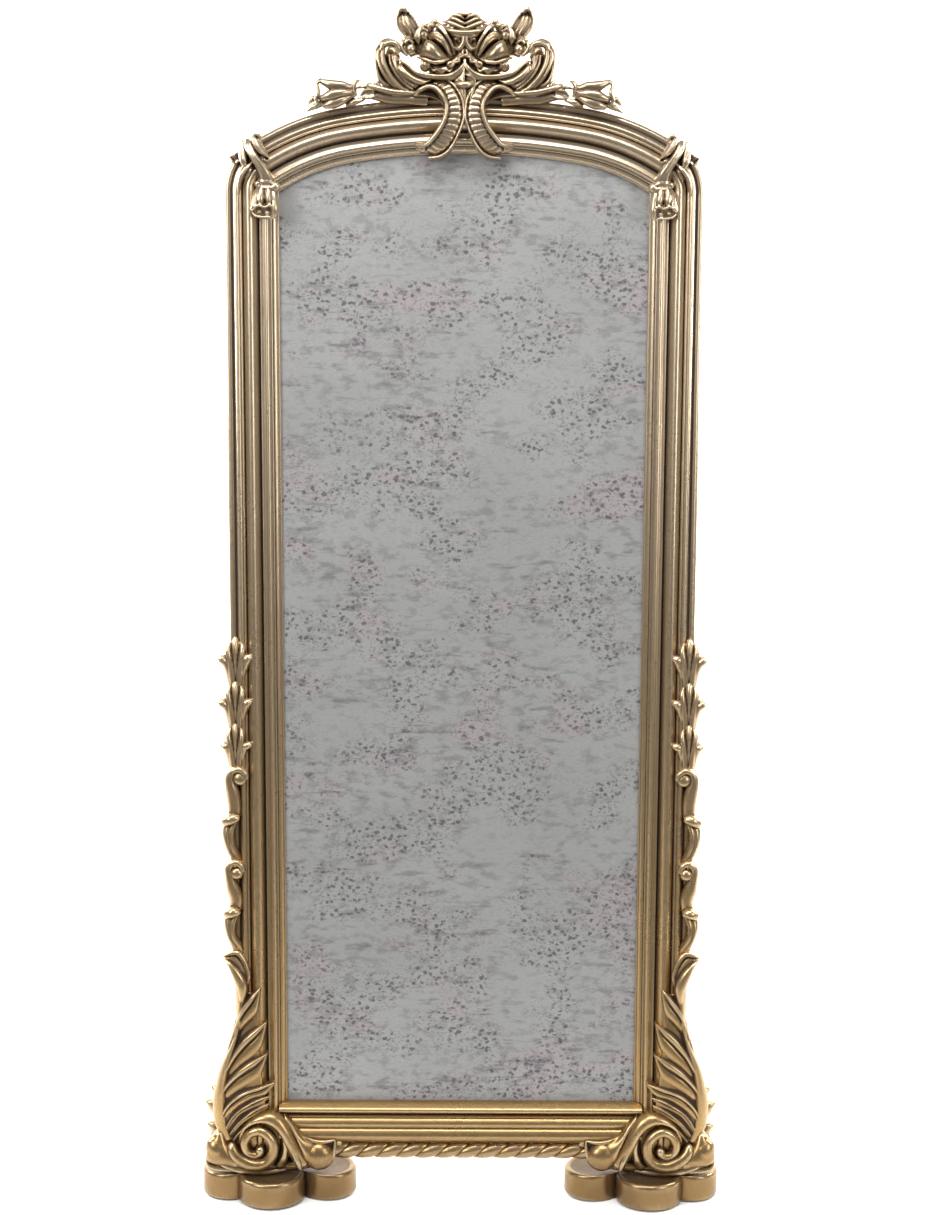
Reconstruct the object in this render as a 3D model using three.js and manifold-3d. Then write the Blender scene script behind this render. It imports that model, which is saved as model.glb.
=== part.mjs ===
// Carved gilt floor mirror with an arched head, standing on two quatrefoil feet.
// Millimetres, +Z up. The mirror faces -Y. The origin is on the floor, midway between the feet.
//
// Two directions are used on every moulded length: s runs outwards from the sight edge of the glass, and
// t stands out from the front of the glass towards the viewer, so y = GLASS_Y - t.

import * as THREE from "three";
import { mergeVertices } from "three/addons/utils/BufferGeometryUtils.js";
import Module from "manifold-3d";

const wasm = await Module();
wasm.setup();

// ---- Driving dimensions ----------------------------------------------------------------------------------

const GAP = 0.3; // glue line between neighbouring pieces
const CHORD_ERROR = 0.2; // how far a turned moulding's facets may leave the true curve
const GLASS_Y = -10; // plane of the front of the glass

// Opening: straight sides under a three-centred arch.
const SIGHT_X = 314; // half the sight width
const SILL_Z = 179; // bottom of the sight opening
const CROWN_Z = 1862; // top of the sight opening
const CROWN_RADIUS = 1150; // middle arc
const CROWN_HALF = 190; // half the width that the middle arc covers
const SPRING_ANGLE = THREE.MathUtils.degToRad(33); // slope of the arch where it meets the stile

// Section of the frame.
const STILE_W = 92; // from the sight edge to the outer edge
const SLIP_W = 14.2; // the sight slip, the narrow inner moulding
const REBATE_W = 24; // depth of the rebate behind the sight edge
const FRAME_BACK = 27; // the frame's back face, behind the front of the glass

// Glazing.
const GLASS_T = 5;
const GLASS_LAP = 10; // how far the glass runs behind the sight edge
const BOARD_T = 6;
const FILLET_T = 11; // glazing fillets that hold the board in the rebate

// Bottom rail and the rope under it.
const RAIL_TOP = 156;
const RAIL_BOTTOM = 105;
const ROPE_RADIUS = 15.5;
const ROPE_HALF = 214; // half the rope's length
const ROPE_STRANDS = 3;
const ROPE_PITCH = 36; // from one strand to the next along the rope

// Feet.
const FOOT_X = 331; // middle of a foot
const GLIDE_T = 3;
const FOOT_H = 50; // top of a foot above the floor
const FOOT_EDGE = 6; // rounding of the top edge
const SIDE_LOBE = 49; // radius
const SIDE_LOBE_OUT = 91; // centre, from the middle of the foot
const FRONT_LOBE = 61;
const FRONT_LOBE_ASIDE = 12; // how far the front and rear lobes stand outwards from the middle
const FRONT_LOBE_OUT = 29;
const GLIDE_RADIUS = 20;
const GLIDE_OUT = 55; // felt glides, in front of and behind the middle of the foot

// Back.
const BATTEN_W = 70;
const BATTEN_T = 18;
const STRUT_T = 34;
const STRUT_SETBACK = 24; // from the rear edge of the foot
const STRUT_H = 370; // above the foot
const CREST_H = 146; // from the top of the arch to the tip of the upright leaves

// ---- Values worked out from them -------------------------------------------------------------------------

const OUTER_X = SIGHT_X + STILE_W;
const STILE_AXIS_X = SIGHT_X + STILE_W / 2;
const CROWN_ANGLE = Math.asin(CROWN_HALF / CROWN_RADIUS);
const HAUNCH_RADIUS = (SIGHT_X - CROWN_HALF) / (Math.sin(SPRING_ANGLE) - Math.sin(CROWN_ANGLE));
const CROWN_CENTRE = { x: 0, z: CROWN_Z - CROWN_RADIUS };
const HAUNCH_CENTRE = {
  x: CROWN_HALF - HAUNCH_RADIUS * Math.sin(CROWN_ANGLE),
  z: CROWN_CENTRE.z + (CROWN_RADIUS - HAUNCH_RADIUS) * Math.cos(CROWN_ANGLE),
};
const SPRING_Z = HAUNCH_CENTRE.z + HAUNCH_RADIUS * Math.cos(SPRING_ANGLE);
const ARCH_TOP_Z = CROWN_Z + STILE_W;

// ---- Materials -------------------------------------------------------------------------------------------

const finish = (color, roughness, metalness) => new THREE.MeshStandardMaterial({ color, roughness, metalness });
const gilt = finish(0xb39a6c, 0.38, 0.75);
const antiqueGlass = finish(0xa3a0a2, 0.25, 0.4);
const bareWood = finish(0x8a6a46, 0.8, 0);
const board = finish(0x6e5238, 0.85, 0);
const felt = finish(0x2d2a28, 0.95, 0);

// ---- Solids ----------------------------------------------------------------------------------------------

function solidOf(geometry) {
  const loose = geometry.index ? geometry.toNonIndexed() : geometry;
  const merged = mergeVertices(new THREE.BufferGeometry().setAttribute("position", loose.attributes.position), 1e-3);
  return new wasm.Manifold(
    new wasm.Mesh({
      numProp: 3,
      vertProperties: merged.attributes.position.array,
      triVerts: new Uint32Array(merged.index.array),
    }),
  );
}

function geometryOf(solid) {
  const mesh = solid.getMesh();
  const points = new Float32Array(mesh.numVert * 3);
  for (let i = 0; i < mesh.numVert; i++) {
    points.set(mesh.vertProperties.subarray(i * mesh.numProp, i * mesh.numProp + 3), i * 3);
  }
  return new THREE.BufferGeometry()
    .setAttribute("position", new THREE.BufferAttribute(points, 3))
    .setIndex(new THREE.BufferAttribute(new Uint32Array(mesh.triVerts), 1));
}

const joined = (solids) => solids.reduce((a, b) => a.add(b));
const cutBy = (solid, cutters) => cutters.reduce((a, b) => a.subtract(b), solid);

// A shape in the (x, z) plane, given thickness from t0 to t1.
function plate(shape, t0, t1, curveSegments = 2) {
  const made = new THREE.ExtrudeGeometry(shape, { depth: t1 - t0, bevelEnabled: false, curveSegments });
  made.translate(0, 0, t0);
  made.rotateX(Math.PI / 2);
  made.translate(0, GLASS_Y, 0);
  return solidOf(made);
}

// A box from its lowest corner to its highest.
function block(x0, y0, z0, x1, y1, z1) {
  const made = new THREE.BoxGeometry(x1 - x0, y1 - y0, z1 - z0);
  made.translate((x0 + x1) / 2, (y0 + y1) / 2, (z0 + z1) / 2);
  return solidOf(made);
}

// A closed outline: each stretch is a list of points that a smooth curve passes, and stretches meet at corners.
function outline(dx, dz, ...stretches) {
  const place = ([x, z]) => new THREE.Vector2(dx + x, dz + z);
  const shape = new THREE.Shape();
  const [x, z] = stretches[0][0];
  shape.moveTo(dx + x, dz + z);
  stretches.forEach((stretch, i) => {
    const rest = (i === 0 ? stretch.slice(1) : stretch).map(place);
    if (rest.length === 1) shape.lineTo(rest[0].x, rest[0].y);
    else shape.splineThru(rest);
  });
  return shape;
}

// A flat ribbon that follows a line of points and whose half width is given at each point.
function ribbon(dx, dz, line, halfWidths) {
  const middle = new THREE.SplineCurve(line.map(([x, z]) => new THREE.Vector2(x, z)));
  const steps = 3 * (line.length - 1);
  const near = [];
  const far = [];
  for (let i = 0; i <= steps; i++) {
    const along = i / steps;
    const at = middle.getPoint(along);
    const tangent = middle.getTangent(along);
    const slot = along * (halfWidths.length - 1);
    const low = Math.min(Math.floor(slot), halfWidths.length - 2);
    const half = THREE.MathUtils.lerp(halfWidths[low], halfWidths[low + 1], slot - low);
    near.push(new THREE.Vector2(dx + at.x - tangent.y * half, dz + at.y + tangent.x * half));
    far.unshift(new THREE.Vector2(dx + at.x + tangent.y * half, dz + at.y - tangent.x * half));
  }
  return new THREE.Shape([...near, ...far]);
}

function disc(x, z, radius) {
  const shape = new THREE.Shape();
  shape.absarc(x, z, radius, 0, 2 * Math.PI);
  return shape;
}

// ---- The frame's section ---------------------------------------------------------------------------------

// Each member runs from one foot to the other, [s, t] to [s, t], and bulges by the last number (a cove is negative).
const STILE_MEMBERS = [
  [14.5, 13, 31, 17, 8], // torus beside the sight slip
  [31, 17, 35, 18, -1.5], // small cove
  [35, 18, 39, 17, 3], // astragal
  [39.4, 14.5, 39.6, 14.5, 0], // quirk
  [40.5, 19, 63, 22, 11], // broad ovolo
  [63.9, 18.5, 64.1, 18.5, 0], // quirk
  [65, 22, 78, 21, 5], // outer bead
  [78, 21, 86, 14, -2.5], // cove
  [86, 14, STILE_W, 10, 3], // edge bead
];
const SLIP_MEMBERS = [
  [0, 3.5, 3, 5, 1], // lip on the glass
  [3, 5, SLIP_W, 14, -1.5], // hollow
];
const RAIL_MEMBERS = [
  [0, 16, 20, 23, 4], // upper band, from the top down
  [20.9, 20, 21.1, 20, 0], // quirk
  [22, 25, RAIL_TOP - RAIL_BOTTOM, 22, 8], // lower band
];
const SILL_MEMBERS = [[0, 8, SILL_Z - RAIL_TOP - GAP, 10, 17]];

// The face of a moulding as points [s, t], each bulging member as a few chords of a sine arch.
function face(members, chords = 4) {
  return members.flatMap(([s0, t0, s1, t1, bulge]) => {
    const count = bulge === 0 ? 1 : chords;
    return Array.from({ length: count + 1 }, (_, i) => {
      const along = i / count;
      return [s0 + (s1 - s0) * along, t0 + (t1 - t0) * along + bulge * Math.sin(Math.PI * along)];
    });
  });
}

// The whole stile section, closed: its face, its outer edge, its back and the rebate. raise lifts the face, for cutters.
function stileSection(raise = 0) {
  const front = face(STILE_MEMBERS).map(([s, t]) => [s, t + raise]);
  return [
    [SLIP_W + GAP - raise, GAP],
    ...front,
    [STILE_W + raise, -FRAME_BACK],
    [REBATE_W, -FRAME_BACK],
    [REBATE_W, GAP],
  ];
}

const slipSection = () => [[0, GAP], ...face(SLIP_MEMBERS, 3), [SLIP_W, GAP]];

// A section run straight up the left side.
function upright(section, z0, z1) {
  const shape = new THREE.Shape(section.map(([s, t]) => new THREE.Vector2(-(SIGHT_X + s), GLASS_Y - t)));
  const made = new THREE.ExtrudeGeometry(shape, { depth: z1 - z0, bevelEnabled: false });
  made.translate(0, 0, z0);
  return solidOf(made);
}

// A section, whose s here runs down from z1, run along x.
function crossways(section, z1, halfLength) {
  const shape = new THREE.Shape(section.map(([s, t]) => new THREE.Vector2(GLASS_Y - t, z1 - s)));
  const made = new THREE.ExtrudeGeometry(shape, { depth: 2 * halfLength, bevelEnabled: false });
  made.rotateZ(Math.PI / 2);
  made.rotateY(Math.PI / 2);
  made.translate(-halfLength, 0, 0);
  return solidOf(made);
}

// The wedge of the (x, z) plane between two angles, measured from straight up towards -x.
function wedge(centre, from, to, reach) {
  const corner = (angle) =>
    new THREE.Vector2(centre.x - reach * Math.sin(angle), centre.z + reach * Math.cos(angle));
  const shape = new THREE.Shape([new THREE.Vector2(centre.x, centre.z), corner(from), corner(to)]);
  return plate(shape, -2 * FRAME_BACK, 3 * FRAME_BACK);
}

// A section turned about an axis along y, from one angle to the other.
function turned(section, centre, radius, from, to) {
  const segments = Math.ceil(Math.PI / Math.acos(1 - CHORD_ERROR / (radius + STILE_W)));
  const ring = section.map(([s, t]) => new THREE.Vector2(Math.max(radius + s, 0), GLASS_Y - t));
  const made = new THREE.LatheGeometry([...ring, ring[0]], segments);
  made.translate(centre.x, 0, centre.z);
  return solidOf(made).intersect(wedge(centre, from, to, 2 * (radius + STILE_W)));
}

const SEAM = 0.0003; // the arcs of one arch overlap by this angle, so that they join

function arch(section) {
  const haunch = { x: -HAUNCH_CENTRE.x, z: HAUNCH_CENTRE.z };
  const left = turned(section, haunch, HAUNCH_RADIUS, CROWN_ANGLE - SEAM, SPRING_ANGLE - GAP / HAUNCH_RADIUS);
  const middle = turned(section, CROWN_CENTRE, CROWN_RADIUS, -CROWN_ANGLE, CROWN_ANGLE);
  return joined([middle, left, left.mirror([1, 0, 0])]);
}

// The outline of the sight opening, enlarged by s, down to a given height.
function opening(s, bottom) {
  const shape = new THREE.Shape();
  const up = Math.PI / 2;
  const side = SIGHT_X + s;
  shape.moveTo(-side, bottom);
  shape.lineTo(-side, SPRING_Z);
  shape.absarc(-SIGHT_X, SPRING_Z, s, Math.PI, up + SPRING_ANGLE, true);
  shape.absarc(-HAUNCH_CENTRE.x, HAUNCH_CENTRE.z, HAUNCH_RADIUS + s, up + SPRING_ANGLE, up + CROWN_ANGLE, true);
  shape.absarc(0, CROWN_CENTRE.z, CROWN_RADIUS + s, up + CROWN_ANGLE, up - CROWN_ANGLE, true);
  shape.absarc(HAUNCH_CENTRE.x, HAUNCH_CENTRE.z, HAUNCH_RADIUS + s, up - CROWN_ANGLE, up - SPRING_ANGLE, true);
  shape.absarc(SIGHT_X, SPRING_Z, s, up - SPRING_ANGLE, 0, true);
  shape.lineTo(side, bottom);
  return shape;
}

// ---- The part --------------------------------------------------------------------------------------------

const part = new THREE.Group();

function add(name, solid, material, mirrored = false) {
  const mesh = new THREE.Mesh(geometryOf(solid), material);
  mesh.name = name;
  if (mirrored) mesh.scale.x = -1;
  part.add(mesh);
}

// A left-hand piece and its mirror image.
function addPair(name, solid, material) {
  add(`${name}_left`, solid, material);
  add(`${name}_right`, solid, material, true);
}

// Frame: two stiles, a turned shoulder block on each, the arched head and the bottom rail.
const corner = { x: -SIGHT_X, z: SPRING_Z };
const stile = upright(stileSection(), FOOT_H + GAP, SPRING_Z - GAP);
const shoulderSection = (raise) => [[0, GAP], ...face(SLIP_MEMBERS, 3), ...stileSection(raise).slice(1)];
const shoulder = turned(shoulderSection(0), corner, 0, SPRING_ANGLE, Math.PI / 2);
addPair("stile", stile, gilt);
addPair("shoulder_block", shoulder, gilt);
add("arch_head", arch(stileSection()), gilt);

const railHalf = SIGHT_X + SLIP_W;
const railBack = [[RAIL_TOP - RAIL_BOTTOM, -FRAME_BACK], [0, -FRAME_BACK]];
add("bottom_rail", crossways([...face(RAIL_MEMBERS), ...railBack], RAIL_TOP, railHalf), gilt);
const sillBack = [[SILL_Z - RAIL_TOP - GAP, GAP], [0, GAP]];
add("sill_bead", crossways([...face(SILL_MEMBERS, 8), ...sillBack], SILL_Z, railHalf), gilt);
addPair("sight_slip", upright(slipSection(), SILL_Z + GAP, SPRING_Z - GAP), gilt);
add("sight_slip_arch", arch(slipSection()), gilt);

// Copies of the frame with the face raised by the glue line, which carvings are cut with.
const frameCutters = [
  upright(stileSection(GAP), FOOT_H, SPRING_Z),
  turned(shoulderSection(GAP), corner, 0, SPRING_ANGLE - SEAM, Math.PI / 2 + SEAM),
  arch(stileSection(GAP)),
  block(-railHalf - 1, GLASS_Y - 34, RAIL_BOTTOM - GAP, railHalf + 1, GLASS_Y + FRAME_BACK, SILL_Z + GAP),
  upright([[-GAP, 0], [-GAP, 15], [SLIP_W + 1, 15], [SLIP_W + 1, 0]], SILL_Z, SPRING_Z + GAP),
  plate(opening(SLIP_W + GAP, SPRING_Z), 0, 15.5),
];
const carved = (solid) => cutBy(solid, frameCutters);

// Rope moulding: a lobed section that twists as it runs.
function rope() {
  const strand = (2 * Math.PI) / ROPE_STRANDS;
  const section = Array.from({ length: 18 }, (_, i) => {
    const angle = (i / 18) * 2 * Math.PI;
    const radius = ROPE_RADIUS - 3.5 * (1 - Math.abs(Math.sin((angle * ROPE_STRANDS) / 2)));
    return new THREE.Vector2(radius * Math.cos(angle), radius * Math.sin(angle));
  });
  const steps = 48;
  const made = new THREE.ExtrudeGeometry(new THREE.Shape(section), {
    depth: 2 * ROPE_HALF,
    steps,
    bevelEnabled: false,
  });
  const points = made.getAttribute("position");
  const turn = new THREE.Matrix4();
  const point = new THREE.Vector3();
  for (let i = 0; i < points.count; i++) {
    point.fromBufferAttribute(points, i);
    point.applyMatrix4(turn.makeRotationZ((point.z / ROPE_PITCH) * strand));
    points.setXYZ(i, point.x, point.y, point.z);
  }
  made.rotateY(Math.PI / 2);
  made.translate(-ROPE_HALF, GLASS_Y - 12, RAIL_BOTTOM - GAP - ROPE_RADIUS);
  return solidOf(made);
}
add("rope_moulding", rope(), gilt);

// Glazing: the antiqued glass, the board behind it, and the fillets that hold both in the rebate.
const glassBack = -(GAP + GLASS_T);
const boardBack = glassBack - GAP - BOARD_T;
const filletFront = boardBack - GAP;
const lapBottom = SILL_Z - GLASS_LAP;
add("mirror_glass", plate(opening(GLASS_LAP, lapBottom), glassBack, 0, 12), antiqueGlass);
add("backing_board", plate(opening(GLASS_LAP, lapBottom), boardBack, glassBack - GAP, 12), board);
const filletOut = REBATE_W - GAP;
const filletIn = -2;
const filletBottom = RAIL_TOP + GAP;
const filletTop = filletBottom + 22;
addPair(
  "glazing_fillet",
  upright(
    [
      [filletIn, filletFront],
      [filletOut, filletFront],
      [filletOut, filletFront - FILLET_T],
      [filletIn, filletFront - FILLET_T],
    ],
    filletTop + GAP,
    SPRING_Z - GAP,
  ),
  bareWood,
);
add(
  "glazing_fillet_bottom",
  block(
    -SIGHT_X - filletOut,
    GLASS_Y - filletFront,
    filletBottom,
    SIGHT_X + filletOut,
    GLASS_Y - filletFront + FILLET_T,
    filletTop,
  ),
  bareWood,
);
add(
  "glazing_fillet_arch",
  plate(opening(filletOut, SPRING_Z), filletFront - FILLET_T, filletFront, 12).subtract(
    plate(opening(-filletIn / 4, SPRING_Z - 1), filletFront - FILLET_T - 1, filletFront + 1, 12),
  ),
  bareWood,
);

// Back: two battens across the frame.
const backY = GLASS_Y + FRAME_BACK + GAP;
for (const [name, share] of [["lower", 0.28], ["upper", 0.82]]) {
  const z = FOOT_H + (SPRING_Z - FOOT_H) * share;
  const half = OUTER_X - 12;
  add(`cross_batten_${name}`, block(-half, backY, z, half, backY + BATTEN_T, z + BATTEN_W), bareWood);
}

// ---- Feet ------------------------------------------------------------------------------------------------

// One lobe of the plinth: a disc with a rounded top edge.
function lobe(x, y, radius) {
  const profile = new THREE.Path();
  profile.moveTo(0, GLIDE_T);
  profile.lineTo(radius, GLIDE_T);
  profile.lineTo(radius, FOOT_H - FOOT_EDGE);
  profile.absarc(radius - FOOT_EDGE, FOOT_H - FOOT_EDGE, FOOT_EDGE, 0, Math.PI / 2);
  profile.lineTo(0, FOOT_H);
  const made = new THREE.LatheGeometry(profile.getPoints(2), 36);
  made.rotateX(Math.PI / 2);
  made.translate(x, y, 0);
  return solidOf(made);
}

function foot() {
  return joined([
    lobe(-FOOT_X - SIDE_LOBE_OUT, 0, SIDE_LOBE),
    lobe(-FOOT_X + SIDE_LOBE_OUT, 0, SIDE_LOBE),
    lobe(-FOOT_X - FRONT_LOBE_ASIDE, -FRONT_LOBE_OUT, FRONT_LOBE),
    lobe(-FOOT_X - FRONT_LOBE_ASIDE, FRONT_LOBE_OUT, FRONT_LOBE),
  ]);
}
addPair("foot", foot(), gilt);

for (const [name, side] of [["front", -1], ["rear", 1]]) {
  const pad = new THREE.CylinderGeometry(GLIDE_RADIUS, GLIDE_RADIUS, GLIDE_T - GAP, 24);
  pad.rotateX(Math.PI / 2);
  pad.translate(-FOOT_X - FRONT_LOBE_ASIDE, side * GLIDE_OUT, (GLIDE_T - GAP) / 2);
  addPair(`felt_glide_${name}`, solidOf(pad), felt);
}

// Strut behind each stile, down to the rear lobe.
function strut() {
  const footY = FRONT_LOBE_OUT + FRONT_LOBE - STRUT_SETBACK;
  const shape = outline(
    0,
    FOOT_H + GAP,
    [[backY, 0], [backY, STRUT_H]],
    [[backY + 8, STRUT_H], [backY + 16, 0.72 * STRUT_H], [backY + 34, 0.36 * STRUT_H], [footY - 8, 0.12 * STRUT_H]],
    [[footY, 30], [footY, 0]],
  );
  const made = new THREE.ExtrudeGeometry(shape, { depth: STRUT_T, bevelEnabled: false, curveSegments: 3 });
  made.rotateX(Math.PI / 2);
  made.rotateZ(Math.PI / 2);
  made.translate(-STILE_AXIS_X - STRUT_T / 2, 0, 0);
  return solidOf(made);
}
addPair("rear_strut", strut(), gilt);

// ---- Carvings at the base, placed from the stile's axis and the top of the foot ---------------------------

const baseX = -STILE_AXIS_X;
const baseZ = FOOT_H + GAP;

const acanthus = plate(
  outline(
    baseX,
    baseZ,
    [[-70, 44], [-82, 75], [-88, 108], [-88, 141], [-81, 178], [-67, 214], [-52, 248], [-45, 290], [-46, 340]],
    [[-55, 372], [-71, 402]],
    [[-48, 411], [-27, 392], [-18, 356]],
    [[-12, 352], [0, 343]],
    [[-2, 322], [-9, 296]],
    [[0, 291], [10, 281]],
    [[8, 262], [-2, 236]],
    [[4, 230], [11, 220]],
    [[8, 200], [2, 180]],
    [[14, 175], [23, 167]],
    [[18, 150], [4, 132]],
    [[-20, 118], [-52, 104]],
  ),
  10,
  44,
);
addPair("acanthus", carved(acanthus), gilt);

const VOLUTE = { x: 0, z: 49, radius: 44 };
const volute = joined([
  plate(disc(baseX + VOLUTE.x, baseZ + VOLUTE.z, VOLUTE.radius), 8, 44, 20),
  plate(disc(baseX + VOLUTE.x, baseZ + VOLUTE.z, VOLUTE.radius * 0.35), 8, 52, 20),
]);
const voluteHole = plate(disc(baseX + VOLUTE.x, baseZ + VOLUTE.z, VOLUTE.radius + GAP), 0, 80, 24);
const floorCutter = block(-900, -300, -10, 900, 300, baseZ);

addPair("volute", cutBy(carved(volute), [floorCutter, acanthus]), gilt);

const toe = plate(
  outline(
    baseX,
    baseZ,
    [[28, 80], [52, 92], [66, 84], [76, 66], [92, 50], [124, 44]],
    [[137, 52], [139, 32], [126, 10], [104, 3], [60, 1], [30, 1]],
    [[38, 20], [42, 46]],
  ),
  8,
  50,
);
addPair("toe_leaf", cutBy(carved(toe), [voluteHole, floorCutter, acanthus]), gilt);

const heel = plate(
  outline(
    baseX,
    baseZ,
    [[-48, 70], [-74, 58], [-92, 36], [-98, 12], [-88, 1]],
    [[-50, 1], [-30, 1]],
    [[-40, 20], [-48, 46]],
  ),
  8,
  40,
);
addPair("heel_leaf", cutBy(carved(heel), [voluteHole, floorCutter, acanthus]), gilt);

// Leaf on the outer side of the strut, seen past the stile, with its tips pointing outwards.
const rearLeaf = plate(
  outline(
    baseX,
    baseZ,
    [[-22, 0], [-70, 0], [-84, 26]],
    [[-101, 46]],
    [[-92, 60], [-107, 68]],
    [[-94, 92], [-110, 112]],
    [[-92, 122], [-100, 138]],
    [[-78, 150], [-80, 174]],
    [[-60, 200], [-48, 260], [-44, 330]],
    [[-30, 352], [-22, 330]],
  ),
  -FRAME_BACK - GAP - 26,
  -FRAME_BACK - GAP,
);
addPair("rear_leaf", cutBy(rearLeaf, [floorCutter]), gilt);

// ---- Carvings on the outer edge of each stile -------------------------------------------------------------

const dropX = -OUTER_X;
const DROP_Z = 451; // bottom of the drop, at the tip of the acanthus

// A bellflower husk, from its narrow foot up to three tips.
const husk = (x, z, size) =>
  outline(
    dropX + x,
    DROP_Z + z,
    [[-12 * size, 0], [-14 * size, 26 * size], [-20 * size, 42 * size]],
    [[-31 * size, 49 * size]],
    [[-19 * size, 56 * size], [-12 * size, 74 * size], [0, 84 * size], [12 * size, 74 * size]],
    [[18 * size, 56 * size], [27 * size, 50 * size]],
    [[18 * size, 42 * size], [14 * size, 26 * size], [12 * size, 0]],
  );
const husks = joined([
  plate(husk(7.5, 350, 0.9), 4, 38),
  plate(husk(7.5, 423, 0.98), 4, 38),
  plate(husk(7.5, 500, 1.03), 4, 38),
]);
addPair("husk_drop", carved(husks), gilt);

// A scroll with a round curl on top and a curled leaf under it.
function sideScroll(z) {
  return joined([
    plate(disc(dropX + 7, DROP_Z + z + 147, 22), 4, 38, 16),
    plate(
      ribbon(
        dropX,
        DROP_Z + z,
        [[-2, 150], [-6, 132], [-1, 112], [2, 97], [-1, 84], [-5, 66], [-4, 44], [3, 22], [10, 4]],
        [9, 11, 12, 12, 13, 14, 13, 10, 6],
      ),
      4,
      34,
    ),
  ]);
}
const LOWER_SCROLL = 10;
const UPPER_SCROLL = 183;
const lowerScroll = carved(sideScroll(LOWER_SCROLL));
const upperScroll = carved(cutBy(sideScroll(UPPER_SCROLL), [plate(husk(7.5, 350, 0.92), 3, 60)]));
addPair("side_scroll_lower", cutBy(lowerScroll, [acanthus]), gilt);
addPair(
  "side_scroll_upper",
  cutBy(upperScroll, [block(-900, -300, 0, 0, 300, DROP_Z + LOWER_SCROLL + 147 + 22 + GAP)]),
  gilt,
);

// ---- Carvings at the corners, placed from the inner corner of the opening ---------------------------------

const clasp = joined([
  plate(ribbon(-SIGHT_X, SPRING_Z, [[-54, 92], [-58, 74], [-44, 46], [-24, 18]], [5, 9, 10, 9]), 12, 50),
  plate(ribbon(-SIGHT_X, SPRING_Z, [[-46, 94], [-38, 76], [-22, 58], [-18, 50]], [6, 8, 7, 3]), 12, 46),
  plate(ribbon(-SIGHT_X, SPRING_Z, [[-56, 86], [-68, 74], [-66, 54], [-60, 36]], [5, 8, 8, 4]), 12, 44),
  plate(ribbon(-SIGHT_X, SPRING_Z, [[-58, 84], [-72, 66], [-84, 56]], [6, 10, 4]), 0, 40),
  plate(disc(-SIGHT_X - 26, SPRING_Z + 12, 14), 12, 48, 14),
]);
addPair("corner_clasp", carved(clasp), gilt);

const bell = plate(
  outline(
    -SIGHT_X,
    SPRING_Z - 4,
    [[-34, 0], [-42, -14], [-42, -30]],
    [[-50, -40], [-40, -48], [-22, -54], [-8, -46]],
    [[-12, -30], [-12, -14], [-20, 0]],
  ),
  12,
  46,
);
addPair("bellflower", cutBy(carved(bell), [plate(disc(-SIGHT_X - 26, SPRING_Z + 12, 14 + GAP), 0, 60, 14)]), gilt);

// ---- Crest, placed from the top of the arch ---------------------------------------------------------------

const crestZ = ARCH_TOP_Z;

const strap = plate(
  outline(
    0,
    crestZ,
    [[-88, 2], [-74, 20], [-56, 26], [-34, 20]],
    [[-16, 10], [-2, -20], [-6, -54], [-22, -86], [-42, -100]],
    [[-62, -98], [-80, -80]],
    [[-60, -70], [-38, -44], [-28, -14], [-40, 8], [-60, 16]],
  ),
  14,
  54,
);
addPair("crest_strap", carved(strap), gilt);
const strapHole = plate(
  outline(
    0,
    crestZ,
    [[-90, 1], [-75, 22], [-56, 28], [-33, 22]],
    [[-15, 11], [-1.4, -20], [-5, -54], [-21, -88], [-42, -102]],
    [[-63, -100], [-84, -80]],
    [[-62, -68], [-40, -43], [-30, -13], [-42, 6], [-60, 14]],
  ),
  0,
  70,
);
const strapHoles = [strapHole, strapHole.mirror([1, 0, 0])];

const keel = plate(
  outline(0, crestZ, [[0, 58], [8, 40], [16, 26]], [[14, 10], [6, -4], [0, -22]], [[-6, -4], [-14, 10], [-16, 26]], [
    [-8, 40],
    [0, 58],
  ]),
  10,
  44,
);
const keelHole = plate(
  outline(0, crestZ, [[0, 60], [9, 41], [17, 26]], [[15, 9], [7, -5], [0, -24]], [[-7, -5], [-15, 9], [-17, 26]], [
    [-9, 41],
    [0, 60],
  ]),
  0,
  70,
);
add("crest_keel", cutBy(carved(keel), strapHoles), gilt);

const crestScroll = joined([
  plate(
    ribbon(
      0,
      crestZ,
      [[-110, 72], [-124, 82], [-139, 69], [-138, 46], [-122, 26], [-96, 14], [-66, 22]],
      [7, 9, 10, 13, 15, 12, 6],
    ),
    0,
    46,
  ),
  plate(ribbon(0, crestZ, [[-128, 34], [-96, 44], [-60, 34], [-30, 34], [-8, 58]], [8, 8, 8, 7, 4]), 0, 42),
]);
const crestScrollSolid = cutBy(carved(crestScroll), [...strapHoles, keelHole, block(-1, -200, 0, 900, 200, 3000)]);
addPair("crest_scroll", crestScrollSolid, gilt);

const rose = joined([
  plate(
    outline(0, crestZ, [[-34, 114], [-29, 126], [-14, 132], [0, 134], [14, 132], [29, 126], [34, 114]], [
      [27, 102],
      [0, 94],
      [-27, 102],
      [-34, 114],
    ]),
    6,
    44,
  ),
  plate(disc(0, crestZ + 114, 15), 6, 52, 14),
]);
add("crest_rose", rose, gilt);

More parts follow.
